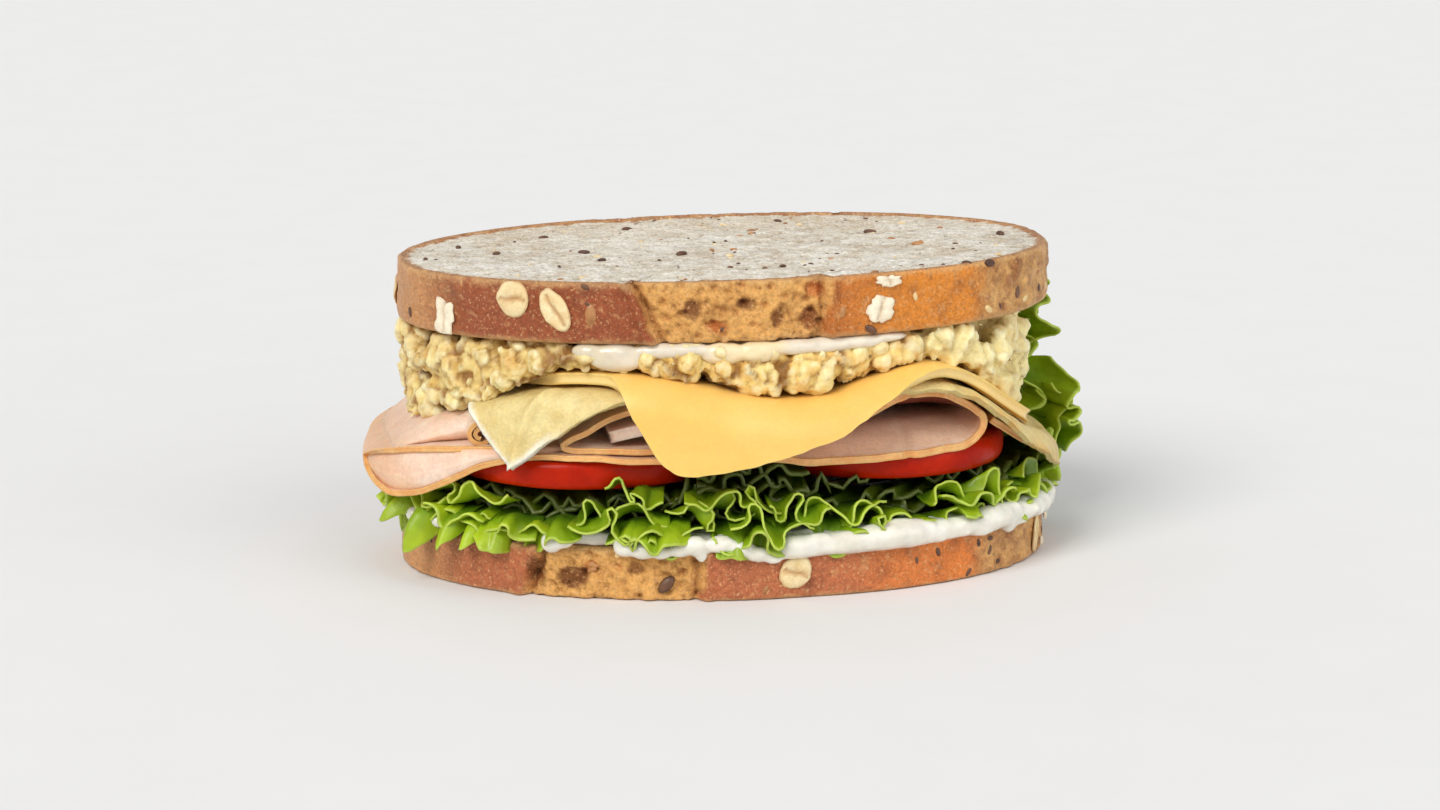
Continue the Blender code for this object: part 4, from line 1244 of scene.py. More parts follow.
def frill(
    rng, start, length, level, inset, reach, droop, wave, fold, seed,
    ragged=1.0, step=0.6, rows=13, tongue=False,
):  # fmt: skip
    """One leaf's margin: a sheet that runs out from under the fillings and ruffles more and more."""
    columns = max(int(length / step), 8)
    s = np.linspace(0, length, columns)
    seeds = strip(s, seed)
    ends = np.clip(np.minimum(s, length - s) / 7.0, 0, 1) ** 0.7
    shape = np.sin(math.pi * s / length) ** 0.8 if tongue else 0.55 + 0.45 * ends
    uneven = 2.0 * noise(seeds, 6.0, seed + 5, 2) + 0.8 * noise(seeds, 1.8, seed + 6)
    outer = reach * shape + ragged * uneven
    bend_noise, wander = 0.5 * noise(seeds, 12.0, seed + 7), 1.9 * noise(seeds, 13.0, seed + 8)
    out, drop = -inset * np.ones(columns), np.zeros(columns)
    points, rims = [], []
    last_share = 0.0
    for share, slide, rise in ruffle(rng, s, step, rows, wave, fold, seed):
        tilt = (droop + bend_noise) * smoothstep(0.25, 1.0, share)
        advance = (share - last_share) * (outer + inset)
        out, drop = out + advance * np.cos(tilt), drop + advance * np.sin(tilt)
        last_share = share
        plan, _ = around(start + s + slide, out + rise * np.sin(tilt))
        points.append(np.column_stack([plan, level + wander * share - drop + rise * np.cos(tilt)]))
        rims.append(np.full(columns, share))
    points, rim = np.concatenate(points), np.concatenate(rims)
    points[:, 2] += 0.35 * noise(points, 2.4, seed + 13, 2) + 0.12 * noise(points, 1.0, seed + 15)
    tone = 0.45 + 0.7 * noise(points, 9.0, seed + 17, 2)
    return points, grid_faces(rows, columns).tolist(), {"rim": rim, "tone": tone}


def leaf_colour(points, rim, tone, dark):
    """Yellow-green towards the rim, with painted shade at the base, or painted shade all over by the share
    dark.
    """
    tone = tone + 0.4 * smoothstep(-40, -65, points[:, 0]) - 0.1
    base = shade((66, 108, 6), (128, 168, 18), tone)
    bright = shade((112, 150, 10), (180, 204, 30), tone + 0.1)
    colour = mix(base, bright, smoothstep(0.4, 0.97, rim))
    colour = mix(colour, srgb(200, 218, 92), 0.8 * smoothstep(0.975, 1.0, rim))
    # Painted shade: at each leaf's base, or over the whole leaf by the share dark.
    shadow = np.full(len(points), dark) if dark else smoothstep(0.6, 0.15, rim)
    return mix(colour, srgb(14, 34, 2), 0.85 * shadow)


def lettuce_piece(name, leaves, looks, replaces, dark=0.0, thickness=0.5):
    points, faces, attributes = joined(leaves)
    colour = leaf_colour(points, attributes["rim"], attributes["tone"], dark)
    obj = make_piece(name, points, faces, looks["lettuce"], "lettuce", replaces, colour)
    solid = obj.modifiers.new("thickness", "SOLIDIFY")
    solid.thickness = thickness * MM
    solid.offset = 0


FRILL_TIERS = (
    # level, reach, droop, leaves
    (20.2, 2.0, -0.05, 14), (18.2, 3.6, 0.15, 15), (16.0, 3.4, 0.3, 16),
)  # fmt: skip
HANGING_LEAVES = (
    # x at the front, length, level, droop, reach, fold, raggedness
    (-80, 12, 19.5, 0.5, 7.0, 1.5, 1.0), (-58, 9, 18.6, 1.1, 8.0, 1.3, 1.4),
    (-45, 14, 17.6, 0.9, 5.2, 1.5, 1.2), (-22, 15, 17.6, 1.0, 6.0, 1.5, 1.2),
    (-27, 13, 24.6, 0.1, 2.0, 1.9, 1.0), (-8, 16, 24.2, 0.1, 2.4, 1.9, 1.0),
    (10, 14, 22.6, 0.1, 2.0, 1.8, 1.0), (-2, 14, 17.8, 1.15, 7.6, 1.5, 1.3),
    (17, 8, 18.0, 1.1, 6.2, 1.5, 1.4), (52, 7, 18.0, 1.0, 5.6, 1.5, 1.3),
    (67, 10, 19.4, 0.7, 5.5, 1.3, 1.3),
)  # fmt: skip
TONGUES = (
    # x at the front, length, droop, reach
    (-75, 7, 0.9, 9.5), (-71, 8, 1.2, 14.0), (-66, 7, 1.05, 11.0), (-62, 6, 1.0, 8.0),
)  # fmt: skip


def crowded_frills(rng):
    """Short frilled leaves all round, at three heights."""
    leaves = []
    for tier, (level, reach, droop, count) in enumerate(FRILL_TIERS):
        for k in range(count):
            length = RIM_LENGTH / count * rng.uniform(0.65, 1.0)
            start = (k + 0.35 * tier) * RIM_LENGTH / count + rng.uniform(-6, 6)
            middle = around(start + length / 2, 0.0)[0]
            right_front = middle[0] > 4 and middle[1] < 0
            leaves.append(frill(
                rng, start, length, level + rng.uniform(-0.8, 0.8), 8.0,
                reach + rng.uniform(-1.8, 1.2) - 0.8 * right_front, droop + rng.uniform(-0.25, 0.3),
                rng.uniform(9.0, 14.0) - 1.5 * tier, rng.uniform(1.6, 2.1), 200 + 30 * tier + k,
            ))  # fmt: skip
    return leaves


def hanging_leaves(rng):
    """Leaves that hang over the lower slice: those that the photo shows, then the guessed ones behind."""
    leaves = []
    for k, (x, length, level, droop, reach, fold, ragged) in enumerate(HANGING_LEAVES):
        start = float(front_along(x)) - length / 2
        shape = (level, 12.0, reach, droop, 8.5, fold)
        leaves.append(frill(rng, start, length, *shape, 300 + k, ragged, 0.45, 20))
    for k, (x, length, droop, reach) in enumerate(TONGUES):
        start = float(front_along(x)) - length / 2
        shape = (19.0 - 0.3 * k, 9.0, reach, droop, 5.5, 1.2)
        leaves.append(frill(rng, start, length, *shape, 340 + k, 0.7, 0.3, 26, True))
    back, count = float(along_at(0.05)), 9
    for k in range(count):
        start = back + k * (RIM_LENGTH - back) / count + rng.uniform(-4, 4)
        leaves.append(frill(
            rng, start, rng.uniform(10, 20), 18.4, 13.0, rng.uniform(5.5, 9.5), rng.uniform(0.85, 1.2),
            9.0, 1.25, 320 + k, 1.3,
        ))  # fmt: skip
    return leaves


def heart_leaves(rng):
    """Leaf inside the stack and between the two tomato slices, coloured as painted shade, which closes the
    view through it.
    """
    leaves = [
        frill(rng, 11.0 * tier, RIM_LENGTH, level, 18.0, -5.5, 0.05, 8.0, 1.4, 350 + tier, 1.0, 1.6, 8)
        for tier, level in enumerate((18.4, 20.8, 23.0))
    ]
    for middle in (float(front_along(0.0)), float(along_at(math.pi / 2))):
        for tier, level in enumerate((25.6, 27.6, 29.6)):
            shape = (level, 18.0, -4.0, 0.05, 6.0, 1.5)
            leaves.append(frill(rng, middle - 13, 26, *shape, 360 + tier, 0.6, 0.6, 8))
    return leaves


def lettuce(looks):
    """The bed of leaves: crowded frills, leaves that hang over the bread, and the heart, a dark sheet of
    painted shade.
    """
    rng = np.random.default_rng(37)
    crowded, hanging = crowded_frills(rng), hanging_leaves(rng)
    lettuce_piece("lettuce_frills", crowded, looks, ("lettuce_bed",))
    lettuce_piece("lettuce_hanging_leaves", hanging, looks, ())
    # The heart's leaves are painted shade, dark almost all over.
    lettuce_piece("lettuce_heart_painted_shade", heart_leaves(rng), looks, (), dark=0.97, thickness=0.8)


SIDE_FOLDS = (
    # base angle, reach, lowest, highest, lean at the foot and at the top, seed
    (35, 32, 40.0, 60.0, 9.0, 13.0, 401), (30, 25, 43.0, 59.0, 12.0, 12.0, 402),
    (38, 28, 34.0, 55.0, 4.0, 8.0, 403), (26, 29, 19.0, 39.0, 14.0, 11.0, 404),
    (22, 22, 18.0, 33.0, 10.0, 13.0, 405), (33, 30, 24.0, 44.0, 7.0, 8.0, 406),
    (28, 25, 17.0, 31.0, 10.0, 10.0, 407),
)  # fmt: skip


def standing_fold(rng, base, reach, low, high, lean_low, lean_high, seed):
    """One frilled fold that stands on its side and runs round the end from its base angle."""
    step, rows = 0.5, 18
    columns = int((high - low) / step * 1.15)
    s = np.linspace(0, high - low, columns)
    seeds = strip(s, seed)
    up = s / s[-1]
    ends = 1 - 0.15 * (2 * up - 1) ** 4
    spread = reach * ends * (0.9 + 0.3 * noise(seeds, 7.0, seed + 1, 2)) + 1.2 * noise(seeds, 2.0, seed + 2)
    jag = 2.2 * noise(seeds, 9.0, seed + 3) + 1.6 * noise(seeds, 2.8, seed + 5)
    points, rims = [], []
    for share, slide, rise in ruffle(rng, s, step, rows, 8.5, 1.6, seed):
        angle = math.radians(base) - spread * share / 80
        lean = lean_low + (lean_high - lean_low) * up + jag * smoothstep(0.5, 1.0, share)
        radius = outline_radius(angle) - 2.0 + lean * smoothstep(0.1, 0.7, share) + rise
        z = low + s + slide + 3.0 * share * (up - 0.5)
        points.append(np.column_stack([radius * np.cos(angle), radius * np.sin(angle), z]))
        rims.append(np.full(columns, 0.35 + 0.65 * share))
    points, rim = np.concatenate(points), np.concatenate(rims)
    points += 0.3 * noise(points, 2.6, seed + 13, 2)[:, None]
    tone = 0.5 + 0.7 * noise(points, 8.0, seed + 4, 2)
    return points, grid_faces(rows, columns).tolist(), {"rim": rim, "tone": tone}


def side_leaf(looks):
    """The frilled leaf that stands up behind the fillings at the right-hand end, in several folds."""
    rng = np.random.default_rng(41)
    leaves = [standing_fold(rng, *fold) for fold in SIDE_FOLDS]
    lettuce_piece("lettuce_side_frill", leaves, looks, ("lettuce_side_leaf",))


# Tomato


def tomato_round(name, looks):
    """A slice with a rounded skin edge, wet faces and a slightly uneven outline."""
    low, high = box_mm(name)
    low, high = low - CENTRE, high - CENTRE
    radius = (high[0] - low[0]) / 2
    centre_x = (low[0] + high[0]) / 2 + 2.0 * (name == "tomato_right")
    back = name.startswith("tomato_back")
    radius = 32.0 if back else radius
    centre_y = 9.0 if back else (low[1] + high[1]) / 2 - 2.5
    half = (high[2] - low[2]) / 2
    seed = 500 + len(name)
    if back:
        spread = math.acos((low[1] - centre_y) / radius)
        angles = np.linspace(math.pi / 2 - spread, math.pi / 2 + spread, 150)
    else:
        angles = np.linspace(0, 2 * math.pi, 260, endpoint=False)
    face = (0.05, 0.3, 0.55, 0.75, 0.88, 0.94)
    skin_turns = np.linspace(math.pi / 2, -math.pi / 2, 11)
    profile = [(fraction, 1.0) for fraction in face]
    profile += [(1 + 1.15 / radius * (math.cos(t) - 1), math.sin(t)) for t in skin_turns]
    profile += [(fraction, -1.0) for fraction in reversed(face)]
    layer = np.full(len(angles), float(seed))
    wander = np.column_stack([radius * np.cos(angles), radius * np.sin(angles), layer])
    rows = []
    for fraction, side in profile:
        r = radius * fraction * np.ones(len(angles))
        r = r + fraction**3 * (0.5 * noise(wander, 14.0, seed) + 0.12 * noise(wander, 3.0, seed + 1))
        x, y = r * np.cos(angles), r * np.sin(angles)
        if back:
            y = np.maximum(y, low[1] - centre_y)
        z = side * half * np.ones(len(angles))
        if abs(side) > 0.99 and fraction < 0.95:
            z = z + 0.2 * noise(np.column_stack([x, y, z]), 4.0, seed + 2, 2)
        rows.append(np.column_stack([x + centre_x, y + centre_y, z + (low[2] + high[2]) / 2]))
    points = np.concatenate(rows)
    faces = grid_faces(len(profile), len(angles), wrap=not back, flip=True).tolist()
    first = list(range(len(angles)))
    last = [(len(profile) - 1) * len(angles) + k for k in first]
    faces += [first, last[::-1]]
    fraction = np.repeat([p[0] for p in profile], len(angles))
    side = np.repeat([abs(p[1]) for p in profile], len(angles))
    flesh = shade((190, 36, 4), (224, 66, 14), 0.5 + 0.5 * noise(points, 5.0, seed + 5, 3))
    skin = shade((162, 18, 0), (198, 42, 4), 0.5 + 0.5 * noise(points, 9.0, seed + 7, 2))
    colour = mix(flesh, skin, smoothstep(0.90, 0.985, fraction) * (side < 0.98))
    make_closed_piece(name + "_slice", points, faces, looks["tomato"], "tomato", (name,), colour)


# Ham, egg and cheese


def resampled(line):
    """Evenly spaced points and normals along a smooth curve through a line of (x, z) points."""
    line = np.array(line, float)
    along = np.concatenate([[0], np.cumsum(np.linalg.norm(np.diff(line, axis=0), axis=1))])
    steps = np.linspace(0, along[-1], int(along[-1] / HAM_STEP))
    curve = np.stack([smooth_curve(list(zip(along, line[:, k])))(steps) for k in (0, 1)], axis=1)
    tangent = np.gradient(curve, axis=0)
    tangent /= np.linalg.norm(tangent, axis=1)[:, None]
    return curve, np.stack([-tangent[:, 1], tangent[:, 0]], axis=1), steps


def ham_colour(points, from_edge, seed):
    """Pale pink meat with faint marbling and a smoked orange-tan rind."""
    marble = noise(points * (1.0, 1.0, 1.6), 7.0, seed, 4, 0.6)
    streak = noise(points * (0.35, 1.0, 1.0), 3.0, seed + 1, 3)
    colour = shade((240, 196, 168), (253, 230, 210), 0.5 + 0.6 * marble + 0.3 * streak)
    tan = smoothstep(0.15, 0.7, noise(points, 11.0, seed + 5, 2))
    colour = mix(colour, srgb(246, 200, 148), 0.5 * tan)
    colour = mix(colour, srgb(236, 176, 122), 0.65 * smoothstep(-72, -84, points[:, 0]))
    rind_edge = from_edge + 0.4 * noise(points, 2.5, seed + 2, 2)
    rind = shade((234, 154, 78), (252, 204, 134), 0.5 + 0.5 * noise(points, 2.0, seed + 3, 3))
    return mix(rind, colour, smoothstep(0.3, 1.5, rind_edge))


def folded_ham(
    name, line, front, looks, seed, replaces,
    back=None, thickness=HAM_THICKNESS, rows=64, droop=None, pale=0.0,
):  # fmt: skip
    """A slice folded along a profile of (x, z) points, between its front and back outlines."""
    curve, normal, steps = resampled(line)
    front_at = front(curve[:, 0])
    back_at = -front_at if back is None else back(curve[:, 0])
    seeds = strip(steps, seed)
    front_at = front_at + 0.45 * noise(seeds, 7.0, seed, 2)
    back_at = back_at + 0.45 * noise(seeds, 7.0, seed + 1, 2)
    share = (1 - np.cos(np.linspace(0, math.pi, rows))) / 2
    y = front_at[:, None] + (back_at - front_at)[:, None] * share[None, :]
    x, z = curve[:, :1] + 0 * y, curve[:, 1:] + 0 * y
    past = np.minimum(y - front_at[:, None], back_at[:, None] - y)
    if droop is not None:
        z = z + droop(x, z, past)
    middle = np.stack([x, y, z], axis=-1)
    ripple = 0.35 * noise(middle, 9.0, seed + 2, 2) + 0.08 * noise(middle, 2.2, seed + 3, 2)
    n = np.stack([normal[:, :1] + 0 * y, 0 * y, normal[:, 1:] + 0 * y], axis=-1)
    middle = middle + n * ripple[..., None]
    lower, upper = middle - n * thickness / 2, middle + n * thickness / 2
    points, faces, rim = sheet_mesh(lower, upper, 2)
    ends = np.minimum(steps, steps[-1] - steps)[:, None] + 0 * y
    from_edge = np.minimum(past, ends).ravel()
    from_edge = np.concatenate([from_edge, from_edge, np.zeros(2 * len(rim))])
    colour = ham_colour(points, from_edge + pale, seed)
    if droop is not None:
        upper_leaf = smoothstep(HAM_FLOOR + 4.5, HAM_FLOOR + 7.5, points[:, 2])
        # Painted light: the lower leaf inside the roll is paled.
        colour = mix(colour, srgb(255, 208, 172), 0.6 * (1 - upper_leaf) * smoothstep(1.5, 3.0, from_edge))
        # Painted shade in the hollow under the upper leaf, deepening inwards; partly the meat's own red-brown
        # there.
        colour = mix(colour, srgb(136, 54, 34), 0.95 * upper_leaf * smoothstep(1.5, 9.0, from_edge))
    make_closed_piece(name, points, faces, looks["ham"], "ham", replaces, colour)


def left_ham_reach(angle_from_left):
    knots = ((0, 8.3), (14, 7.6), (24, 4.5), (34, 1.2), (60, 0.3), (180, 0.3))
    return smooth_curve(knots)(np.degrees(angle_from_left))


def left_ham_front(x):
    """Front outline of the ham at the left end, as y at x."""
    angle = np.linspace(math.pi, math.pi / 2, 200)
    radius = outline_radius(angle) + left_ham_reach(math.pi - angle)
    return -np.interp(x, radius * np.cos(angle), radius * np.sin(angle))


def pillow(centre, longest, past, low, high, roundness):
    """A puffed fold of meat between two surfaces, rounded at its rim: its lower and its upper grid."""
    angle, level = disc_plan(60)
    reach = np.full(angle.shape, float(longest))
    for _ in range(40):
        x, y = centre[0] + reach * np.cos(angle), centre[1] + reach * np.sin(angle)
        from_left = math.pi - np.abs(np.arctan2(y, x))
        beyond = np.hypot(x, y) - outline_radius(np.arctan2(y, x)) - left_ham_reach(from_left) - past
        reach = np.where(beyond > 0, reach - 0.75 * beyond, reach)
    fraction = np.sin(level * math.pi / 2)
    x, y = centre[0] + reach * fraction * np.cos(angle), centre[1] + reach * fraction * np.sin(angle)
    below, above = low(x), high(x)
    middle = (below + above) / 2
    puff = (1 - fraction**roundness) ** 0.5
    lower = np.stack([x, y, middle + (below - middle) * puff], axis=-1)
    upper = np.stack([x, y, middle + (above - middle) * puff], axis=-1)
    return lower, upper


def ham_left(looks):
    """The left end: a slice folded back on itself, its soft inside, and the dome of the slice above."""

    def lower_leaf(x):
        knots = ((-87, 24), (-82, 20.6), (-76, 21.3), (-69, 24.6), (-60, 29.8), (-50, 32.2), (-3, 32.6))
        return smooth_curve(knots)(x)

    def upper_leaf(x):
        knots = ((-87, 25), (-83, 29.4), (-76, 31.9), (-66, 33.6), (-52, 34.6), (-40, 35.0))
        return smooth_curve(knots)(x)

    line = [(-4, 32.7), (-20, 32.6), (-36, 32.5), (-50, 32.2), (-60, 29.8), (-69, 24.6), (-76, 21.5)]
    line += [(-81.5, 20.8), (-84.6, 22.8), (-85.2, 25.8), (-83.2, 28.9)]
    line += [(-79, 30.9), (-72, 32.5), (-62, 33.6), (-53, 34.0)]
    folded_ham("ham_left_fold", line, left_ham_front, looks, 601, ("ham_left_lower",), thickness=1.25)
    lower, upper = pillow((-46.0, 0.0), 39.0, 0.35, lower_leaf, upper_leaf, 50)
    add_meat("ham_left_inside", lower, upper, looks, 611, ())

    def dome_low(x):
        return upper_leaf(x) - 0.8

    def dome_high(x):
        return np.maximum(ham_top(x), dome_low(x) + 1.0)

    lower, upper = pillow((-57.0, 0.0), 29.0, -0.1, dome_low, dome_high, 7)
    add_meat("ham_left_dome", lower, upper, looks, 621, ("ham_left_upper",))
    turn = np.linspace(0, 3.3 * math.pi, 60)
    radius = 3.3 - 0.66 * turn / math.pi
    across, up = radius * np.cos(turn + 0.5), radius * np.sin(turn + 0.5)
    curl = list(zip(-60.0 + across, 36.6 + 0.85 * up))
    folded_ham(
        "ham_left_curl", curl, lambda x: front_y(-60.0) - 0.8 + 0 * x, looks, 631, (),
        back=lambda x: front_y(-60.0) + 14 + 0 * x, thickness=1.0, rows=30,
    )  # fmt: skip


def add_meat(name, lower, upper, looks, seed, replaces):
    """A soft closed piece of ham between two grids."""
    for grid in (lower, upper):
        grid[..., 2] += 0.35 * noise(grid, 10.0, seed, 2) + 0.07 * noise(grid, 2.0, seed + 1, 2)
        grid[..., 1] += 0.3 * noise(grid, 8.0, seed + 2, 2)
    points, faces, _ = sheet_mesh(lower, upper, 1)
    x, z = points[:, 0], points[:, 2]
    colour = ham_colour(points, np.full(len(points), 9.0), seed)
    warm = smoothstep(-78, -58, x) * smoothstep(31.5, 33.5, z) * smoothstep(36, 34, z)
    colour = mix(colour, srgb(236, 164, 116), 0.5 * warm)
    make_closed_piece(name, points, faces, looks["ham"], "ham", replaces, colour)


def centre_ham_level(x):
    share = smoothstep(-44, -22, x)
    return 34.9 * (1 - share) + (ham_top(x) - HAM_THICKNESS / 2 - 0.6) * share


def ham_middle(looks):
    """The middle: a slice that lies flat, turns back at its left end and climbs to the sheets above."""
    level = 34.4
    line = [(x, level) for x in (-3.0, -14, -28, -36, -40.5)] + [(-42.4, level + 0.7), (-41.0, level + 1.9)]
    line += [(-37, 38.4), (-32, 41.6), (-27, centre_ham_level(-27) - 0.3)]
    line += [(x, centre_ham_level(x)) for x in (-21, -12, -4)]
    folded_ham("ham_centre_fold", line, lambda x: front_y(x, 1.3), looks, 641, ("ham_centre",), thickness=1.3)
    inner = [(-32, 37.0), (-26, 38.6), (-19, 39.9), (-10, 39.8), (-4, 39.0)]
    folded_ham("ham_centre_inner", inner, lambda x: front_y(x, 3.4), looks, 651, (), thickness=2.6, pale=2.0)


def ham_roll(looks):
    """The rolled slice on the right: it folds over on itself round a hollow, and a leaf lies outside it."""
    level, under = HAM_FLOOR + HAM_THICKNESS / 2, HAM_THICKNESS / 2 + 0.7
    turn_x, turn_reach = 45.5, 10.5
    top = float(ham_top(turn_x)) - under
    middle, half = (level + top) / 2, (top - level) / 2
    line = [(2.0, level), (14, level), (26, level), (36, level)]
    for turn in np.radians(np.linspace(-90, 90, 11)):
        x, z = turn_x + turn_reach * math.cos(turn), middle + half * math.sin(turn) - 1.4 * math.cos(turn)
        line.append((x, min(z, float(ham_top(x)) - under)))
    line += [(x, ham_top(x) - under) for x in (38, 31)] + [(24, 40.6), (17, 37.9), (10, 36.2)]

    def droop(x, z, past):
        hang = 1.3 * smoothstep(9.0, 0.0, past) * smoothstep(38.0, 35.0, z) * smoothstep(4, 14, x)
        hang = hang * (1 - 0.55 * smoothstep(40, 56, x))
        above = smoothstep(level + 1.5, level + 6, z)
        close = 0.5 * smoothstep(3.0, 20.0, past) * above
        return -hang - close * (z - level - 2.2) + 3.2 * smoothstep(0.5, 15.0, past) * (1 - above)

    def front(x):
        return front_y(x, 1.0) + 1.4 * np.exp(-(((x - 36.5) / 0.9) ** 2))

    folded_ham("ham_right_roll", line, front, looks, 661, ("ham_right",), droop=droop)
    outer = [(x, ham_top(x) - HAM_THICKNESS / 2 - 0.5) for x in (57.8, 62, 66, 70, 74)]
    folded_ham("ham_right_outer_leaf", outer, lambda x: front_y(x, 1.0), looks, 691, ("ham_right_outer",))


EGG_REACH_KNOTS = (
    # angle in degrees, how far past the outline the sheet reaches
    (-180, -14.0), (-165, -12.0), (-154, 0.5), (-149, 8.5), (-142.6, 18.2), (-137.5, 13.5), (-127, 6.5),
    (-117, 2.0), (-105, -2.0), (-80, -3.0), (-60, 1.0), (-43, 3.5), (-30, 5.0), (-18, 8.0), (-6, 10.0),
    (2, 6.0), (12, -1.0), (35, 4.0), (60, 6.0), (90, 1.0), (125, 8.0), (150, -2.0), (180, -14.0),
)  # fmt: skip


def egg_sheet(looks):
    """A thin omelette: crumpled, porous, and crumbly along its edge."""
    angle, level = disc_plan(118)
    ring = np.stack([80 * np.cos(angle), 80 * np.sin(angle), 0 * angle], axis=-1)
    ragged = 0.8 * noise(ring, 4.0, 701, 3, 0.6)
    right = smoothstep(30, 60, ring[..., 0]) * (ring[..., 1] < 10)
    degrees = np.degrees(np.mod(angle + math.pi, 2 * math.pi) - math.pi)
    reach = np.interp(degrees, *np.transpose(EGG_REACH_KNOTS))
    reach = outline_radius(angle) + reach + ragged * (1 + 1.2 * right)
    spread = 1 - (1 - level) ** 1.25
    x, y = reach * spread * np.cos(angle), reach * spread * np.sin(angle)
    flat = np.stack([x, y, 0 * x], axis=-1)
    crumple = 0.40 * noise(flat, 7.0, 703, 2) + 0.26 * noise(flat, 2.6, 705, 3)
    gap = 0.909 * (y + 51) - 0.418 * (x + 66.9)
    crease = np.exp(-((gap / 1.1) ** 2)) * smoothstep(-41, -45, x) * (y < 0)
    crumple = crumple * (1 + 0.8 * right) + 1.5 * crease
    lower, upper = draped_sheet(x, y, EGG_LIFT, EGG_THICKNESS, crumple * 0.8, crumple)
    points, faces, rim = sheet_mesh(lower, upper, 2)
    from_edge = np.concatenate([((1 - spread) * reach).ravel()] * 2 + [np.zeros(2 * len(rim))])
    fine = noise(points, 1.6, 711, 3)
    tone = 0.5 + 0.4 * noise(points, 6.0, 713, 3) + 0.3 * fine
    colour = shade((216, 184, 106), (243, 226, 164), tone)
    at_right = 0.35 + 0.65 * smoothstep(40, 60, points[:, 0])
    crust = (1 - smoothstep(0.5, 2.6, from_edge + 0.8 * fine)) * at_right
    colour = mix(colour, srgb(230, 176, 92), crust * 0.8 * smoothstep(-0.2, 0.5, noise(points, 3.0, 715, 2)))
    crumbs = (1 - smoothstep(0.4, 2.4, from_edge + fine)) * smoothstep(-40, -50, points[:, 0])
    colour = mix(colour, srgb(255, 252, 236), 0.8 * crumbs)
    make_closed_piece("egg_sheet_crumpled", points, faces, looks["egg"], "egg", ("egg_sheet",), colour)


CHEESE_CORNERS = np.array([(-28.5, -67.5), (73.0, -22.0), (24.0, 68.0), (-73.0, 0.0)])
CHEESE_BOW = 7.5


def cheese_slice(looks):
    """A smooth processed slice, its cut edges painted paler than its faces as a painted highlight."""
    front, right, back, left = CHEESE_CORNERS
    rows, columns = 92, 80
    u, v = np.meshgrid(np.linspace(0, 1, rows), np.linspace(0, 1, columns), indexing="ij")
    u, v = 0.5 - 0.5 * np.cos(math.pi * u), 0.5 - 0.5 * np.cos(math.pi * v)
    u, v = u[..., None], v[..., None]
    corner = 1 - 0.08 * (np.abs(2 * u - 1) * np.abs(2 * v - 1)) ** 7
    u, v = 0.5 + (u - 0.5) * corner, 0.5 + (v - 0.5) * corner
    flat = (front * (1 - u) + right * u) * (1 - v) + (left * (1 - u) + back * u) * v
    across, along = left - front, right - front
    across, along = across / np.linalg.norm(across), along / np.linalg.norm(along)
    flat = flat + across * CHEESE_BOW * (4 * u * (1 - u)) ** 0.6 * (2 * v - 1)
    flat = flat + along * CHEESE_BOW / 2 * 4 * v * (1 - v) * np.where(u < 0.5, 1 - 2 * u, 2 * u - 1)
    flat = flat + along * 7.0 * (1 - u) ** 3 * np.sin(math.pi * np.clip(v / 0.44, 0, 1))
    margin = 1 - smoothstep(0.0, 0.02, v[..., 0])
    nick = noise(np.stack([u[..., 0] * 112, 0 * u[..., 0], 0 * u[..., 0]], axis=-1), 2.2, 729, 2)
    flat = flat - across * (0.35 * nick * margin)[..., None]
    x, y = flat[..., 0], flat[..., 1]
    plane = np.stack([x, y, 0 * x], axis=-1)
    sag = 0.35 * noise(plane, 16.0, 721, 2) + 0.05 * noise(plane, 3.0, 723, 2)
    lower, upper = draped_sheet(x, y, CHEESE_LIFT, CHEESE_THICKNESS, sag, sag)
    points, faces, rim = sheet_mesh(lower, upper, 3)
    colour = shade((246, 190, 90), (252, 208, 120), 0.5 + 0.5 * noise(points, 11.0, 727, 3))
    edge = np.concatenate([np.zeros(2 * rows * columns), np.ones(3 * len(rim))])
    # Painted highlight: the cut edges are paler.
    colour = mix(colour, srgb(252, 222, 150), edge * 0.8)
    surface = looks["cheese"]
    make_closed_piece("cheese_slice_draped", points, faces, surface, "cheese", ("cheese_slice",), colour)


# Scene


FLOOR_HALF = 6.0  # metres
WORLD_STRENGTH = 0.54
SUNS = (
    # name, strength, angle across, turn and height above the floor in degrees, colour
    ("key", 1.9, 30, -40, 40, (1.0, 0.99, 0.97)),
    ("fill", 0.85, 60, 42, 26, (0.98, 0.99, 1.0)),
)
CAMERA_PLACE, CAMERA_AIM = (-107.5, -757.4, 198.0), (-3.1, -14.7, 38.0)
CAMERA_LENS, CAMERA_SENSOR = 82, 36


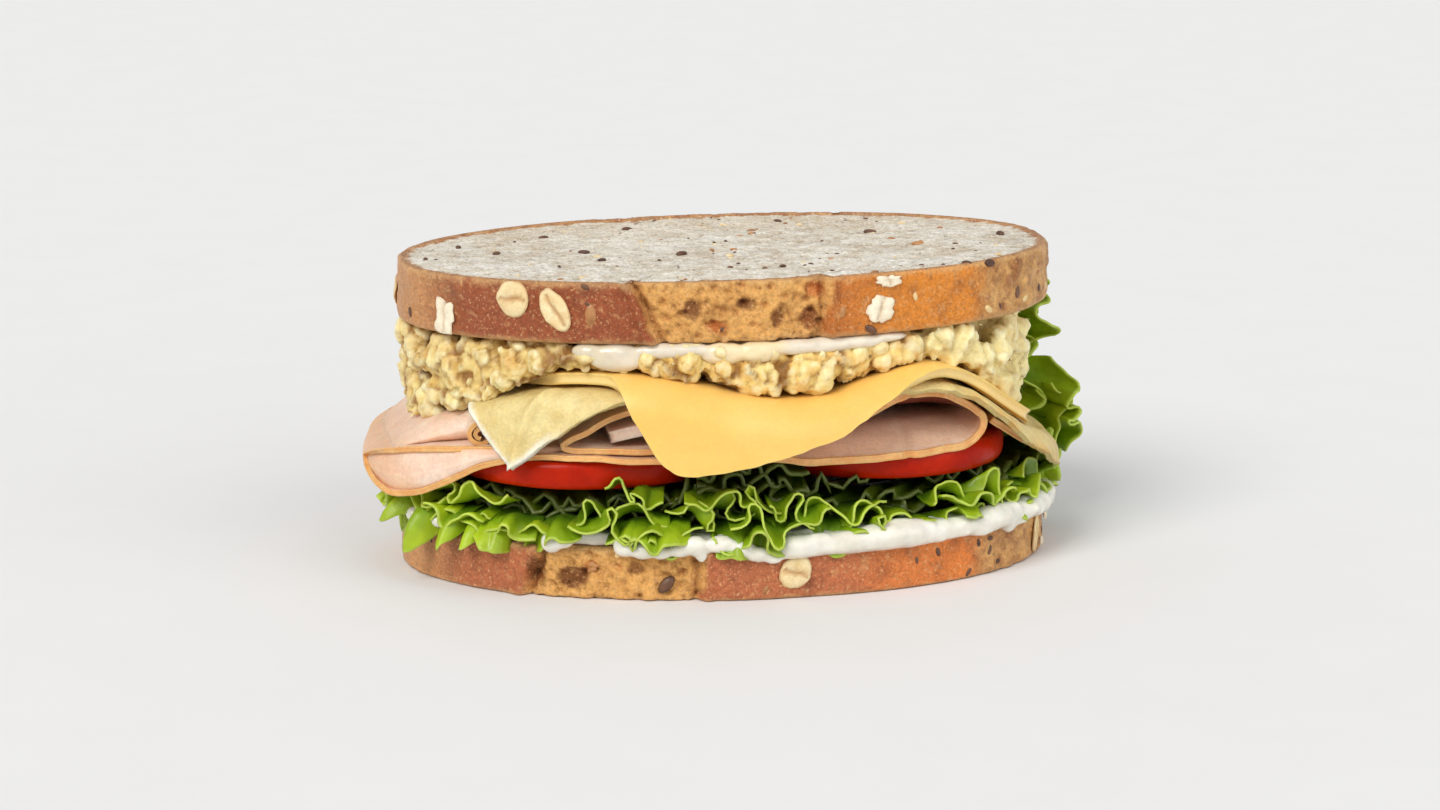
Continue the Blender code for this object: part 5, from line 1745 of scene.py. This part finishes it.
def make_stage():
    mesh = bpy.data.meshes.new("floor")
    corners = [(i * FLOOR_HALF, j * FLOOR_HALF, 0) for i, j in ((-1, -1), (1, -1), (1, 1), (-1, 1))]
    mesh.from_pydata(corners, [], [(0, 1, 2, 3)])
    floor = linked("floor", mesh)
    n = Nodes("floor")
    grain = n.noise(30, 2)
    colour = n.blend(srgb(232, 232, 232), srgb(235, 235, 235), grain)
    floor.data.materials.append(n.set(Base_Color=colour, Roughness=0.8, Specular_IOR_Level=0.1))


def make_lights():
    world = bpy.data.worlds.new("studio")
    world.use_nodes = True
    world.node_tree.nodes["Background"].inputs["Color"].default_value = (1.0, 1.0, 1.0, 1)
    world.node_tree.nodes["Background"].inputs["Strength"].default_value = WORLD_STRENGTH
    bpy.context.scene.world = world
    for name, strength, angle, turn, height, colour in SUNS:
        sun = bpy.data.lights.new(name, "SUN")
        sun.energy = strength
        sun.angle = math.radians(angle)
        sun.color = colour
        obj = linked(name, sun)
        a, e = math.radians(turn), math.radians(height)
        toward = Vector((math.sin(a) * math.cos(e), -math.cos(a) * math.cos(e), math.sin(e)))
        obj.rotation_euler = toward.to_track_quat("Z", "Y").to_euler()


def make_camera():
    """The camera stands 0.78 m off, a little left of the front, and looks slightly down."""
    place, aim = Vector(CAMERA_PLACE) + Vector(CENTRE), Vector(CAMERA_AIM) + Vector(CENTRE)
    camera = bpy.data.cameras.new("camera")
    camera.lens, camera.sensor_width = CAMERA_LENS, CAMERA_SENSOR
    camera.clip_start, camera.clip_end = 0.01, 50
    obj = linked("camera", camera)
    obj.location = place * MM
    obj.rotation_euler = (aim - place).to_track_quat("-Z", "Y").to_euler()
    bpy.context.scene.camera = obj


def main():
    bpy.context.scene.view_settings.view_transform = "Standard"
    looks = make_materials()
    make_camera()
    make_lights()
    make_stage()
    bread_slice("bread_bottom", LOWER_TOP / 2, LOWER_TOP, 0.0, looks, -1, 142)
    bread_slice("bread_top", UPPER_MIDDLE, UPPER_THICKNESS, UPPER_TILT, looks, 1, 192)
    oats(looks)
    small_seeds(looks)
    lower_sauce(looks)
    upper_sauce(looks)
    lettuce(looks)
    side_leaf(looks)
    for name in ("tomato_left", "tomato_right", "tomato_back_left", "tomato_back_right"):
        tomato_round(name, looks)
    ham_left(looks)
    ham_middle(looks)
    ham_roll(looks)
    egg_sheet(looks)
    cheese_slice(looks)
    chicken_salad(looks)


main()
